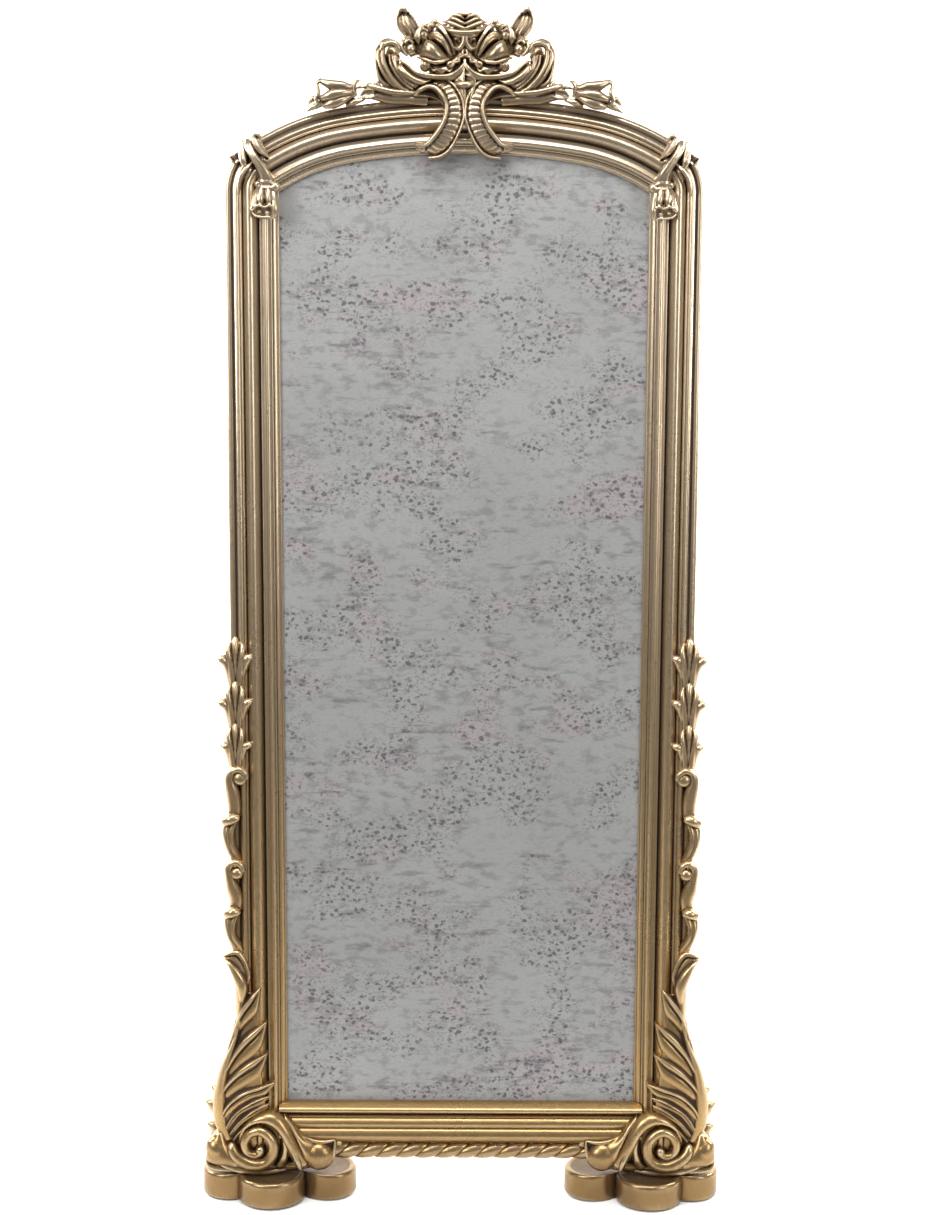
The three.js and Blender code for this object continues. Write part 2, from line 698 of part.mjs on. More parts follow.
// Leaves that fill the middle of the crest, between the rose, the tulips and the scrolls.
const roseHole = plate(
  outline(0, crestZ, [[-35, 114], [-30, 127], [-14, 133], [0, 135], [14, 133], [30, 127], [35, 114]], [
    [28, 101],
    [0, 93],
    [-28, 101],
    [-35, 114],
  ]),
  0,
  60,
);
const tulipShape = (grow) =>
  outline(
    0,
    crestZ,
    [[-20 + grow, 76], [-30, 98 + grow], [-50, 106 + grow], [-66, 96 + grow]],
    [[-80 - grow, 78], [-82 - grow, 60]],
    [[-68, 56 - grow], [-46, 58 - grow], [-28, 64 - grow], [-20 + grow, 76]],
  );
const scrollHoles = plate(
  ribbon(0, crestZ, [[-128, 34], [-96, 44], [-60, 34], [-30, 34], [-8, 58]], [9, 9, 9, 8, 5]),
  -1,
  60,
);
const foliage = plate(
  outline(0, crestZ, [[0, 98], [16, 92], [20, 74], [30, 60], [70, 58], [76, 50]], [
    [60, 38],
    [30, 36],
    [10, 56],
    [0, 62],
    [-10, 56],
    [-30, 36],
    [-60, 38],
  ], [[-76, 50], [-70, 58], [-30, 60], [-20, 74], [-16, 92], [0, 98]]),
  2,
  34,
);
const tulipHole = plate(tulipShape(0.5), 0, 70);
const bothSides = (solid) => [solid, solid.mirror([1, 0, 0])];
add(
  "crest_foliage",
  cutBy(foliage, [roseHole, keelHole, ...bothSides(tulipHole), ...bothSides(scrollHoles), ...strapHoles]),
  gilt,
);
addPair("crest_tulip", cutBy(plate(tulipShape(0), 2, 50), [roseHole, scrollHoles]), gilt);

// Upright leaf with the buds at its foot.
const uprightLeaf = joined([
  plate(
    outline(0, crestZ, [[-80, 96], [-98, 112], [-110, 130], [-108, 144]], [
      [-102, CREST_H - 1],
      [-88, 136],
      [-80, 118],
      [-77, 100],
    ]),
    8,
    34,
  ),
  plate(disc(-92, crestZ + 84, 13), 4, 40, 12),
  plate(ribbon(0, crestZ, [[-92, 84], [-90, 104], [-94, 116]], [7, 6, 6]), 8, 34),
]);
addPair(
  "crest_leaf",
  cutBy(uprightLeaf, [
    tulipHole,
    scrollHoles,
    plate(ribbon(0, crestZ, [[-108, 71], [-124, 83], [-140, 69]], [9, 10.5, 11.5]), -1, 60),
  ]),
  gilt,
);

// Garland lying on the shoulder of the arch: a stem, a leaf and a small tulip.
const garland = joined([
  plate(
    ribbon(
      0,
      crestZ,
      [[-100, 6], [-126, 6], [-156, 14], [-180, 10], [-214, 4], [-244, -8], [-266, -20]],
      [6, 7, 8, 9, 9, 7, 4],
    ),
    0,
    34,
  ),
  plate(
    outline(0, crestZ, [[-182, 2], [-192, 20], [-214, 24], [-246, 26]], [
      [-244, 12],
      [-246, -4],
      [-220, -14],
      [-192, -8],
      [-182, 2],
    ]),
    0,
    44,
  ),
]);
const garlandSolid = cutBy(carved(garland), [
  plate(
    ribbon(
      0,
      crestZ,
      [[-110, 72], [-124, 82], [-139, 69], [-138, 46], [-122, 26], [-96, 14], [-66, 22]],
      [8, 10, 11, 14, 16, 13, 7],
    ),
    -1,
    60,
  ),
  ...strapHoles,
]);
addPair("garland", garlandSolid, gilt);

export default part;
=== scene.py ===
"""A tall arched floor mirror in a carved and gilded frame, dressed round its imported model.

Carvings are laid out in millimetres as (x, z, t): x and z from an anchor on the frame, and t standing out
from the front of the glass. Only left-hand carvings are drawn, and their right-hand partners are their
reflections.
"""

import math

import bpy
import numpy as np
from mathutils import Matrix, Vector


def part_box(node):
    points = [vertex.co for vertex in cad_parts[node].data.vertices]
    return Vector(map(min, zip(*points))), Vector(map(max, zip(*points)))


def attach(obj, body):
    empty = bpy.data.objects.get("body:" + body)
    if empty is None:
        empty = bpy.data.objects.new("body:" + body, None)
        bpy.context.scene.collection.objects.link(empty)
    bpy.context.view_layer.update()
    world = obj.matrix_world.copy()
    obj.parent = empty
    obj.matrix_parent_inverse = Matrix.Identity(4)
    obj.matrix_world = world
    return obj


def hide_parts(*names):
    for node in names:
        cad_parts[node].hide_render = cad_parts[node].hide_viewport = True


bl_info = {
    "name": "Carved Floor Mirror",
    "version": (1, 0, 0),
    "blender": (4, 5, 0),
    "location": "View3D > Sidebar > Mirror",
    "description": "Builds the carved, gilded and glazed surfaces of an arched floor mirror",
    "category": "Add Mesh",
}

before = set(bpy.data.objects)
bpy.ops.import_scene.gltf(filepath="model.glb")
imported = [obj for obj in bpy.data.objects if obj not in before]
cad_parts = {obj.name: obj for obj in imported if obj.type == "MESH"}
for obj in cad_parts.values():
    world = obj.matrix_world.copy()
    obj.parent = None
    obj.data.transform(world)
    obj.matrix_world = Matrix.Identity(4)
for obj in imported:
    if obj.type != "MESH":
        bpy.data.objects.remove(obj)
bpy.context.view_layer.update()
MM = 0.001


def edge(node, end, axis):
    """One coordinate of a node's box, in millimetres: end 0 is the lowest and 1 the highest."""
    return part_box(node)[end][axis] / MM


# ---- Sizes read from the frame ----------------------------------------------------------------------------

GAP = 0.3
GLASS_Y = edge("mirror_glass", 0, 1)
SIGHT_X = -edge("sight_slip_left", 1, 0)
SLIP_W = -SIGHT_X - edge("sight_slip_left", 0, 0)
OUTER_X = -edge("stile_left", 0, 0)
STILE_W = OUTER_X - SIGHT_X
FRAME_BACK = edge("stile_left", 1, 1) - GLASS_Y
SPRING_Z = edge("sight_slip_left", 1, 2) + GAP
CROWN_Z = edge("sight_slip_arch", 1, 2) - SLIP_W
FOOT_TOP = edge("foot_left", 1, 2)
RAIL_TOP = edge("bottom_rail", 1, 2)

# The three-centred arch: the middle arc, the half width that it covers and the slope at the stile.
CROWN_RADIUS = 1150.0
CROWN_HALF = 190.0
SPRING_ANGLE = math.radians(33)
CROWN_ANGLE = math.asin(CROWN_HALF / CROWN_RADIUS)
HAUNCH_RADIUS = (SIGHT_X - CROWN_HALF) / (math.sin(SPRING_ANGLE) - math.sin(CROWN_ANGLE))

BASE = (-(SIGHT_X + OUTER_X) / 2, FOOT_TOP + GAP)
SCROLLS_HEIGHT = 350
DROP = (-OUTER_X, edge("husk_drop_left", 0, 2) - SCROLLS_HEIGHT)
CORNER = (-SIGHT_X, SPRING_Z)
CREST = (0.0, CROWN_Z + STILE_W)


# ---- Surfaces ---------------------------------------------------------------------------------------------


def spline(points, count):
    """Rows of a smooth curve through the points: each span is the cubic that leaves and meets its two
    points with half the chord between their neighbours as slope. Rows crowd towards both ends, by a half
    cosine."""
    p = np.asarray(points, float)
    padded = np.vstack([2 * p[0] - p[1], p, 2 * p[-1] - p[-2]])
    at = (len(p) - 1) * 0.5 * (1 - np.cos(np.pi * np.linspace(0, 1, count)))
    span = np.minimum(at.astype(int), len(p) - 2)
    f = (at - span)[:, None]
    a, b, c, d = (padded[span + k] for k in range(4))
    return 0.5 * (2 * b + (c - a) * f + (2 * a - 5 * b + 4 * c - d) * f**2 + (3 * b - a - 3 * c + d) * f**3)


def eased(values, count):
    """Numbers along a run, on the same rows as spline, never below nothing."""
    v = np.asarray(values, float).reshape(-1, 1)
    return np.maximum(spline(v, count)[:, 0], 0)


def grid_faces(rows, columns):
    """Quads of a grid whose columns close on themselves."""
    r, c = np.meshgrid(np.arange(rows - 1), np.arange(columns), indexing="ij")
    n = (c + 1) % columns
    corners = [r * columns + c, r * columns + n, (r + 1) * columns + n, (r + 1) * columns + c]
    return np.stack(corners, -1).reshape(-1, 4)


def grid_ends(rows, columns):
    """Flat faces that close the first and the last row of a grid."""
    first = list(range(columns))
    return [first[::-1], [(rows - 1) * columns + k for k in first]]


def section(top, bottom=-1.0, points=22):
    """A closed section: across runs from -1 to 1, the top is a function of it, and the sides fall to a
    flat bottom."""
    across = np.cos(np.linspace(0, np.pi, points))
    upper = np.stack([across, top(across)], -1)
    lower = np.stack([across[::-1], np.full(points, bottom)], -1)
    return np.vstack([upper, lower[1:-1]])


def dome(x):
    return np.sqrt(np.maximum(1 - x**2, 0))


def reeded(count, depth):
    """Rounded reeds side by side under one dome, with sharp grooves between them."""
    return section(
        lambda x: dome(x) ** 0.8 * (1 - depth * (1 - np.abs(np.sin(count * np.pi * (x + 1) / 2)) ** 0.6)),
        points=10 * count + 6,
    )


RIB_DEPTH = 0.36
RIB_SHARPNESS = 0.22

ROUND = section(dome)
SLAB = section(lambda x: (1 - np.abs(x) ** 5) ** 0.5)
RIDGE = section(lambda x: 1 - np.abs(x) ** 0.85)
HOLLOW = section(lambda x: np.where(np.abs(x) < 0.8, 0.45 + 0.85 * x**2, dome(x) * 1.66))
FEATHER = section(
    lambda x: 0.05 + np.where(
        x < -0.3, dome((x + 0.65) / 0.35) ** 0.7, 0.78 * dome((x - 0.35) / 0.65) ** 0.75
    ),
    points=56,
)


def run(line, width, height, shape=ROUND, ends=(0.0, 0.0), rows=44):
    """A section carried along a line of (x, z, t). width and height are half sizes along the way, and
    ends round off that share of each end."""
    path = spline(line, rows)
    ahead = np.gradient(path, axis=0)
    ahead /= np.linalg.norm(ahead, axis=1, keepdims=True) + 1e-9
    across = np.cross([0.0, 0.0, 1.0], ahead)
    across /= np.linalg.norm(across, axis=1, keepdims=True) + 1e-9
    lift = np.cross(ahead, across)
    share = 0.5 * (1 - np.cos(np.pi * np.linspace(0, 1, rows)))
    w = eased(width, rows)
    h = eased(height, rows)
    for reach, from_end in ((ends[0], share), (ends[1], 1 - share)):
        if reach:
            cap = np.sqrt(1 - (1 - np.minimum(from_end / reach, 1)) ** 2)
            w, h = w * cap, h * cap
    w[[0, -1]] *= 0.02
    h[[0, -1]] *= 0.02
    points = (
        path[:, None]
        + (w[:, None] * shape[None, :, 0])[..., None] * across[:, None]
        + (h[:, None] * shape[None, :, 1])[..., None] * lift[:, None]
    )
    return points.reshape(-1, 3), grid_faces(rows, len(shape))


def between(one, other, lift, rise, back, shape=ROUND, lean=0.0, ribs=0, ends=(0.0, 0.0), rows=60):
    """A domed skin from one edge to the other, both lines of (x, z). lift is the height t of its edges
    along the way, rise that of the section above them, and back that of its flat underside. lean tips the
    first edge up and the other down, ribs cuts that many narrow notches across it, and ends are as in
    run."""
    a = spline(one, rows)
    b = spline(other, rows)
    share = 0.5 * (1 - np.cos(np.pi * np.linspace(0, 1, rows)))
    middle = (a + b) / 2
    half = (b - a) / 2
    low = spline(np.reshape(lift, (-1, 1)), rows)[:, 0]
    high = eased(rise, rows)
    for reach, from_end in ((ends[0], share), (ends[1], 1 - share)):
        if reach:
            cap = np.sqrt(1 - (1 - np.minimum(from_end / reach, 1)) ** 2)
            half = half * cap[:, None]
            high = high * cap
    if ribs:
        high = high * (1 - RIB_DEPTH * (1 - np.abs(np.sin(ribs * np.pi * share)) ** RIB_SHARPNESS))
    half[[0, -1]] *= 0.02
    across = shape[:, 0]
    xz = middle[:, None] + half[:, None] * across[None, :, None]
    t = low[:, None] + high[:, None] * shape[:, 1] - lean * across
    t = np.where(shape[:, 1] < 0, back, t)
    points = np.concatenate([xz, t[..., None]], -1)
    return points.reshape(-1, 3), grid_faces(rows, len(shape))


def ball(centre, radii, tilt=0.0, rows=18, columns=24):
    """An egg: circles of latitude from pole to pole, stretched to three radii and turned by tilt degrees."""
    up = np.linspace(0, np.pi, rows)[:, None]
    round_ = np.linspace(0, 2 * np.pi, columns, endpoint=False)[None]
    x = radii[0] * np.sin(up) * np.cos(round_)
    z = radii[1] * np.cos(up) * np.ones_like(round_)
    t = radii[2] * np.sin(up) * np.sin(round_)
    c, s = math.cos(math.radians(tilt)), math.sin(math.radians(tilt))
    points = np.stack([x * c - z * s, x * s + z * c, t], -1) + np.asarray(centre, float)
    return points.reshape(-1, 3), grid_faces(rows, columns)


def flipped(solid):
    """A solid's mirror image."""
    points, faces = solid
    return points * [-1, 1, 1], faces[:, ::-1]


def both(solids):
    return solids + [flipped(s) for s in solids]


# ---- Meshes -----------------------------------------------------------------------------------------------


def to_metres(points):
    """(x, z, t) in millimetres becomes (x, y, z) in metres."""
    return np.stack([points[:, 0], GLASS_Y - points[:, 2], points[:, 1]], -1) * MM


def new_mesh(name, points, faces, flats=()):
    """A mesh from metres and quads, plus any flat many-sided ends."""
    mesh = bpy.data.meshes.new(name)
    mesh.from_pydata(points.tolist(), [], faces.tolist() + [list(f) for f in flats])
    mesh.validate()
    mesh.update()
    piece = bpy.data.objects.new(name, mesh)
    bpy.context.scene.collection.objects.link(piece)
    return piece


def arrays(mesh):
    """A mesh's points and edges."""
    points = np.empty(len(mesh.vertices) * 3)
    mesh.vertices.foreach_get("co", points)
    edges = np.empty(len(mesh.edges) * 2, int)
    mesh.edges.foreach_get("vertices", edges)
    return points.reshape(-1, 3), edges.reshape(-1, 2)


def averaged(values, edges, times):
    """Each value replaced, over and over, by the mean of itself and its neighbours."""
    ends = np.concatenate([edges[:, 0], edges[:, 1]])
    others = np.concatenate([edges[:, 1], edges[:, 0]])
    count = np.bincount(ends, minlength=len(values)) + 1.0
    for _ in range(times):
        total = np.stack(
            [np.bincount(ends, values[others, k], len(values)) for k in range(values.shape[1])], -1
        )
        values = (values + total) / count[:, None]
    return values


def mark_hollows(mesh, reach_mm=3.5):
    """Stores hollow on each point: how far the neighbourhood's mean stands out in front of it, over the
    reach. It is above nothing in grooves and below it on ridges."""
    points, edges = arrays(mesh)
    normals = np.empty(len(points) * 3)
    mesh.vertices.foreach_get("normal", normals)
    step = np.linalg.norm(points[edges[:, 0]] - points[edges[:, 1]], axis=1).mean() / MM
    depth = np.zeros(len(points))
    for reach in (reach_mm, 3 * reach_mm):
        times = int(np.clip(2 * (reach / step) ** 2, 2, 60))
        mean = averaged(points, edges, times)
        depth += ((mean - points) * normals.reshape(-1, 3)).sum(1) / (reach * MM)
    mesh.attributes.new("hollow", "FLOAT", "POINT").data.foreach_set("value", depth)


def finish_piece(piece, material, nodes):
    """Smooth, rides on the frame, and stands for its CAD nodes."""
    piece.data.materials.clear()
    piece.data.materials.append(material)
    piece.data.shade_smooth()
    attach(piece, "root")
    if nodes:
        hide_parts(*nodes)
    return piece


# How far each easing step moves a point towards the mean of its neighbours, or away from it.
EASING = (0.6, -0.62, 0.6, -0.62, 0.5)


def fused(name, anchor, solids, grain):
    """Overlapping solids, laid out from the anchor, joined into one skin on a grid of that grain in
    millimetres, then eased by alternate shrinking and swelling, which takes out the steps of the grid and
    keeps the size."""
    points, faces, start = [], [], 0
    for p, f in solids:
        points.append(p)
        faces.append(f + start)
        start += len(p)
    placed = np.vstack(points) + [anchor[0], anchor[1], 0]
    rough = new_mesh(name + "_rough", to_metres(placed), np.vstack(faces))
    remesh = rough.modifiers.new("skin", "REMESH")
    remesh.mode = "VOXEL"
    remesh.voxel_size = grain * MM
    view = rough.evaluated_get(bpy.context.evaluated_depsgraph_get())
    mesh = bpy.data.meshes.new_from_object(view)
    bpy.data.objects.remove(rough)
    mesh.name = name
    p, edges = arrays(mesh)
    for amount in EASING:
        p = p + amount * (averaged(p, edges, 1) - p)
    mesh.vertices.foreach_set("co", p.ravel())
    mesh.update()
    return mesh


def carving(name, anchor, solids, nodes, grain):
    """One carving in the middle of the frame."""
    mesh = fused(name, anchor, solids, grain)
    mark_hollows(mesh)
    piece = bpy.data.objects.new(name, mesh)
    bpy.context.scene.collection.objects.link(piece)
    return finish_piece(piece, gilding(), nodes)


def carved_pair(name, anchor, solids, nodes, grain):
    """A carving on the left and its reflection on the right."""
    left = carving(f"{name}_left", anchor, solids, [f"{n}_left" for n in nodes], grain)
    mesh = left.data.copy()
    mesh.name = f"{name}_right"
    points = arrays(mesh)[0]
    points[:, 0] *= -1
    mesh.vertices.foreach_set("co", points.ravel())
    mesh.flip_normals()
    mesh.update()
    right = bpy.data.objects.new(f"{name}_right", mesh)
    bpy.context.scene.collection.objects.link(right)
    finish_piece(right, gilding(), [f"{n}_right" for n in nodes])


# ---- Mouldings --------------------------------------------------------------------------------------------

# Members of the stile's face, as in the model but with the small bead by the outer quirk: from (s, t) to
# (s, t), bulging by the last number. s runs outwards from the sight edge.
STILE_MEMBERS = [
    (14.5, 14, 24.5, 18.5, 3.5),
    (24.5, 18.5, 32, 18, -1.2),
    (32.4, 12, 35.4, 12, 0),
    (36.2, 17.5, 59.8, 21, 10),
    (60.3, 15.5, 61.5, 15.5, 0),
    (62, 20.5, 66.5, 21.5, 2),
    (66.5, 21.5, 75.5, 20.5, 3),
    (75.5, 20.5, 81.5, 13.5, -2.5),
    (81.5, 13.5, 92, 10, 3),
]
SLIP_MEMBERS = [
    (0, 3.5, 3, 5, 1), (3, 5, 10.3, 10, 0.8), (10.6, 6.5, 11.2, 6.5, 0), (11.6, 12, 14.2, 14, 0.5)
]
RAIL_MEMBERS = [
    (0, 16, 3, 19, 1), (3.4, 16, 3.6, 16, 0), (4, 18, 21, 23, 4), (21.6, 16, 22, 16, 0),
    (22.6, 24, 49, 22, 8),
]
SILL_MEMBERS = [(0, 8, 22.7, 10, 17)]


def face_of(members, chords=9):
    """Points (s, t) of a moulding's face: each member is a chord with a half sine wave on it."""
    rows = []
    for s0, t0, s1, t1, bulge in members:
        w = np.linspace(0, 1, (chords if bulge else 1) + 1)
        rows.append(np.stack([s0 + (s1 - s0) * w, t0 + (t1 - t0) * w + bulge * np.sin(np.pi * w)], -1))
    return np.vstack(rows)


def opening(s, way):
    """Points of the left half of the sight opening's outline, enlarged by s, for ways in three stretches:
    0 to 1 up the stile, 1 to 2 round the shoulder, 2 to 3 along the haunch and 3 to 4 along the crown to
    the middle."""
    s, way = np.broadcast_arrays(s, way)
    w = np.clip(way[..., None] - np.arange(4), 0, 1)
    foot = FOOT_TOP + GAP
    z0 = foot + (SPRING_Z - foot) * w[..., 0]
    tilt = np.pi / 2 - (np.pi / 2 - SPRING_ANGLE) * w[..., 1]
    haunch = SPRING_ANGLE + (CROWN_ANGLE - SPRING_ANGLE) * w[..., 2]
    crown = CROWN_ANGLE * (1 - w[..., 3])
    centre_x = CROWN_HALF - HAUNCH_RADIUS * math.sin(CROWN_ANGLE)
    crown_z = CROWN_Z - CROWN_RADIUS
    centre_z = crown_z + (CROWN_RADIUS - HAUNCH_RADIUS) * math.cos(CROWN_ANGLE)
    low = np.stack([-SIGHT_X - s, z0], -1)
    shoulder = np.stack([-SIGHT_X - s * np.sin(tilt), SPRING_Z + s * np.cos(tilt)], -1)
    r = HAUNCH_RADIUS + s
    side = np.stack([-centre_x - r * np.sin(haunch), centre_z + r * np.cos(haunch)], -1)
    r = CROWN_RADIUS + s
    top = np.stack([-r * np.sin(crown), crown_z + r * np.cos(crown)], -1)
    pick = np.minimum(way.astype(int), 3)[..., None]
    return np.choose(pick, [low, shoulder, side, top])


def profile_hollows(profile, reaches=(3.0, 8.0)):
    """Hollow of each point of a closed profile: how far the mean of the profile near it, weighted by a
    bell of that reach along the way round, stands out in front of it, over the reach."""
    ahead = np.roll(profile, -1, 0) - profile
    length = np.linalg.norm(ahead, axis=1)
    share = (length + np.roll(length, 1)) / 2
    at = np.concatenate([[0], np.cumsum(length)[:-1]])
    apart = np.abs(at[:, None] - at[None])
    apart = np.minimum(apart, length.sum() - apart)
    slope = np.roll(profile, -1, 0) - np.roll(profile, 1, 0)
    slope /= np.linalg.norm(slope, axis=1, keepdims=True) + 1e-9
    area = (profile[:, 0] * np.roll(profile[:, 1], -1) - profile[:, 1] * np.roll(profile[:, 0], -1)).sum()
    out = np.stack([slope[:, 1], -slope[:, 0]], -1) * math.copysign(1, area)
    depth = np.zeros(len(profile))
    for reach in reaches:
        weight = np.exp(-((apart / reach) ** 2)) * np.minimum(share, reach / 2)[None]
        mean = weight @ profile / weight.sum(1, keepdims=True)
        depth += ((mean - profile) * out).sum(1) / reach
    return depth


def swept(name, profile, ways, nodes, mirrored=False, whole=False):
    """A closed profile of (s, t) carried along the opening. whole runs it on through the reflected half."""
    at = opening(profile[None, :, 0], np.asarray(ways, float)[:, None])
    points = np.concatenate([at, np.broadcast_to(profile[None, :, 1:2], (*at.shape[:2], 1))], -1)
    if whole:
        points = np.concatenate([points, points[-2::-1] * [-1, 1, 1]])
    if mirrored:
        points = points * [-1, 1, 1]
    return lengthwise(name, points, profile_hollows(profile), nodes)


def lengthwise(name, points, depth, nodes):
    """A moulding from rings of points, with flat ends, whose faces are turned outwards. depth is the
    hollow of each point of a ring."""
    rows, columns = points.shape[:2]
    faces = grid_faces(rows, columns)
    piece = new_mesh(name, to_metres(points.reshape(-1, 3)), faces, grid_ends(rows, columns))
    face_out(piece.data)
    piece.data.attributes.new("hollow", "FLOAT", "POINT").data.foreach_set("value", np.tile(depth, rows))
    finish_piece(piece, gilding(), nodes)
    crease_flat_ends(piece.data)
    return piece


def face_out(mesh):
    """Turns a closed mesh's faces outwards if its signed volume says that they point in."""
    mesh.calc_loop_triangles()
    triangles = np.empty(len(mesh.loop_triangles) * 3, int)
    mesh.loop_triangles.foreach_get("vertices", triangles)
    p = arrays(mesh)[0][triangles.reshape(-1, 3)]
    if np.einsum("ij,ij->i", p[:, 0], np.cross(p[:, 1], p[:, 2])).sum() < 0:
        mesh.flip_normals()


def crease_flat_ends(mesh):
    """Sharp edges where two faces meet at more than 50 degrees."""
    mesh.set_sharp_from_angle(angle=math.radians(50))


def stile_profile():
    front = face_of(STILE_MEMBERS)
    back = [(STILE_W, -FRAME_BACK), (24, -FRAME_BACK), (24, GAP), (SLIP_W + GAP, GAP)]
    return np.vstack([front, back])


def slip_profile():
    return np.vstack([face_of(SLIP_MEMBERS), [(SLIP_W, GAP), (0, GAP)]])


def crossways(name, members, top, half, depth_back, nodes):
    """A rail: its profile's s runs down from the top, and it runs straight across."""
    front = face_of(members)
    s_end = members[-1][2]
    profile = np.vstack([front, [(s_end, depth_back), (0, depth_back)]])
    x = np.linspace(-half, half, 60)
    points = np.stack(
        np.broadcast_arrays(x[:, None], top - profile[None, :, 0], profile[None, :, 1]), -1
    )
    return lengthwise(name, points, profile_hollows(profile), nodes)


# ---- Finishes ---------------------------------------------------------------------------------------------


class Value:
    """A socket in an expression: arithmetic on it adds Math nodes."""

    def __init__(self, web, socket):
        self.web = web
        self.socket = socket

    def _maths(self, operation, *values, clamp=False):
        settings = {"operation": operation, "use_clamp": clamp}
        return self.web.node("ShaderNodeMath", settings, dict(enumerate(values)))

    def __add__(self, other):
        return self._maths("ADD", self, other)

    __radd__ = __add__

    def __sub__(self, other):
        return self._maths("SUBTRACT", self, other)

    def __rsub__(self, other):
        return self._maths("SUBTRACT", other, self)

    def __mul__(self, other):
        return self._maths("MULTIPLY", self, other)

    __rmul__ = __mul__

    def clamped(self):
        return self._maths("ADD", self, 0.0, clamp=True)

    def ramp(self, low, high):
        """Nothing at low, one at high, smooth between them."""
        settings = {"interpolation_type": "SMOOTHSTEP"}
        return self.web.node("ShaderNodeMapRange", settings, {0: self, 1: low, 2: high, 3: 0.0, 4: 1.0})


class Finish:
    """A material under construction."""

    def __init__(self, name):
        self.material = bpy.data.materials.new(name)
        self.material.use_nodes = True
        self.tree = self.material.node_tree
        self.shader = self.tree.nodes["Principled BSDF"]

    def node(self, kind, settings, values, output=0):
        """Adds a node: its settings first, then the value or link of each socket, by name or number."""
        made = self.tree.nodes.new(kind)
        for key, value in settings.items():
            setattr(made, key, value)
        for key, value in values.items():
            self.feed(made.inputs[key], value)
        return Value(self, made.outputs[output])

    def feed(self, socket, value):
        if isinstance(value, Value):
            self.tree.links.new(value.socket, socket)
        else:
            socket.default_value = value

    def place(self, scale=(1, 1, 1)):
        """Where a point is on the object, in metres, stretched by scale."""
        at = self.node("ShaderNodeTexCoord", {}, {}, "Object")
        return self.node("ShaderNodeMapping", {}, {"Vector": at, "Scale": scale})

    def noise(self, scale, at=None, detail=3.0, roughness=0.5, distortion=0.0):
        values = {"Scale": scale, "Detail": detail, "Roughness": roughness, "Distortion": distortion}
        return self.node("ShaderNodeTexNoise", {}, {"Vector": at or self.place(), **values})

    def mix(self, share, first, second):
        """Two colours mixed."""
        return self.node("ShaderNodeMix", {"data_type": "RGBA"}, {0: share, 6: first, 7: second}, 2)

    def bump(self, height, distance, strength=1.0, under=None):
        values = {"Height": height, "Distance": distance, "Strength": strength}
        if under:
            values["Normal"] = under
        return self.node("ShaderNodeBump", {}, values)

    def done(self, **sockets):
        for key, value in sockets.items():
            self.feed(self.shader.inputs[key.replace("_", " ")], value)
        return self.material


def rgb(red, green, blue):
    """A colour as a painter's 0 to 255 values, made linear."""
    c = np.array([red, green, blue]) / 255
    return (*np.where(c > 0.04045, ((c + 0.055) / 1.055) ** 2.4, c / 12.92).tolist(), 1.0)


def gilding():
    """Champagne gold leaf: cooler and paler towards the top and browner and darker towards the floor, which
    is painted light and shade, darkened again near the crown and the floor as painted shade, rubbed through
    on the ridges and lightened there as a partly painted highlight, with brown glaze left in the hollows and
    over the whole in thin clouds."""
    ready = bpy.data.materials.get("champagne_gilding")
    if ready:
        return ready
    look = bpy.context.scene.mirror_finish
    f = Finish("champagne_gilding")
    hollow = f.node("ShaderNodeAttribute", {"attribute_name": "hollow"}, {}, "Fac")
    height = f.node("ShaderNodeSeparateXYZ", {}, {0: f.place()}, "Z")
    cloud = f.noise(9, detail=5, roughness=0.6)
    fine = f.noise(140, detail=4, roughness=0.65)
    drag = f.noise(40, f.place((1, 1, 0.12)), detail=3)
    # Painted light and shade: the leaf goes from darker, browner gold at the floor to paler, cooler gold at
    # the top, standing in for how the light falls.
    leaf = f.mix(height.ramp(0.0, 1.95), tuple(look.low_gold_painted_shade), tuple(look.high_gold_painted_light))
    # Painted shade: darkening near the crown and near the floor, mixed in with the wash's random brown
    # clouds.
    ends = height.ramp(1.86, 1.99) * 0.5 + height.ramp(0.17, 0.03) * 0.75
    leaf = f.mix((ends + (cloud - 0.35) * 0.6).clamped(), leaf, tuple(look.wash_and_painted_shade))
    glaze = (hollow + (cloud - 0.5) * 0.2 + (fine - 0.5) * 0.1).ramp(0.0, 0.36) * look.glaze_depth
    # Partly rubbed wear and partly a painted highlight: pale leaf on the ridges.
    rub_and_painted_highlight = (0.0 - hollow + (fine - 0.5) * 0.3 + (drag - 0.5) * 0.1).ramp(0.1, 0.6)
    leaf = f.mix(rub_and_painted_highlight * look.rub_and_highlight_share, leaf, tuple(look.rubbed_and_painted_highlight))
    colour = f.mix(glaze.clamped(), leaf, tuple(look.glaze))
    roughness = 0.3 + glaze * 0.32 + (fine - 0.5) * 0.16 + (cloud - 0.5) * 0.12
    soft = f.bump(cloud, 0.0012, 0.3)
    skin = f.bump(fine * 0.6 + drag * 0.4, 0.0004, 0.45, soft)
    return f.done(Base_Color=colour, Metallic=0.88 - glaze * 0.6, Roughness=roughness, Normal=skin)


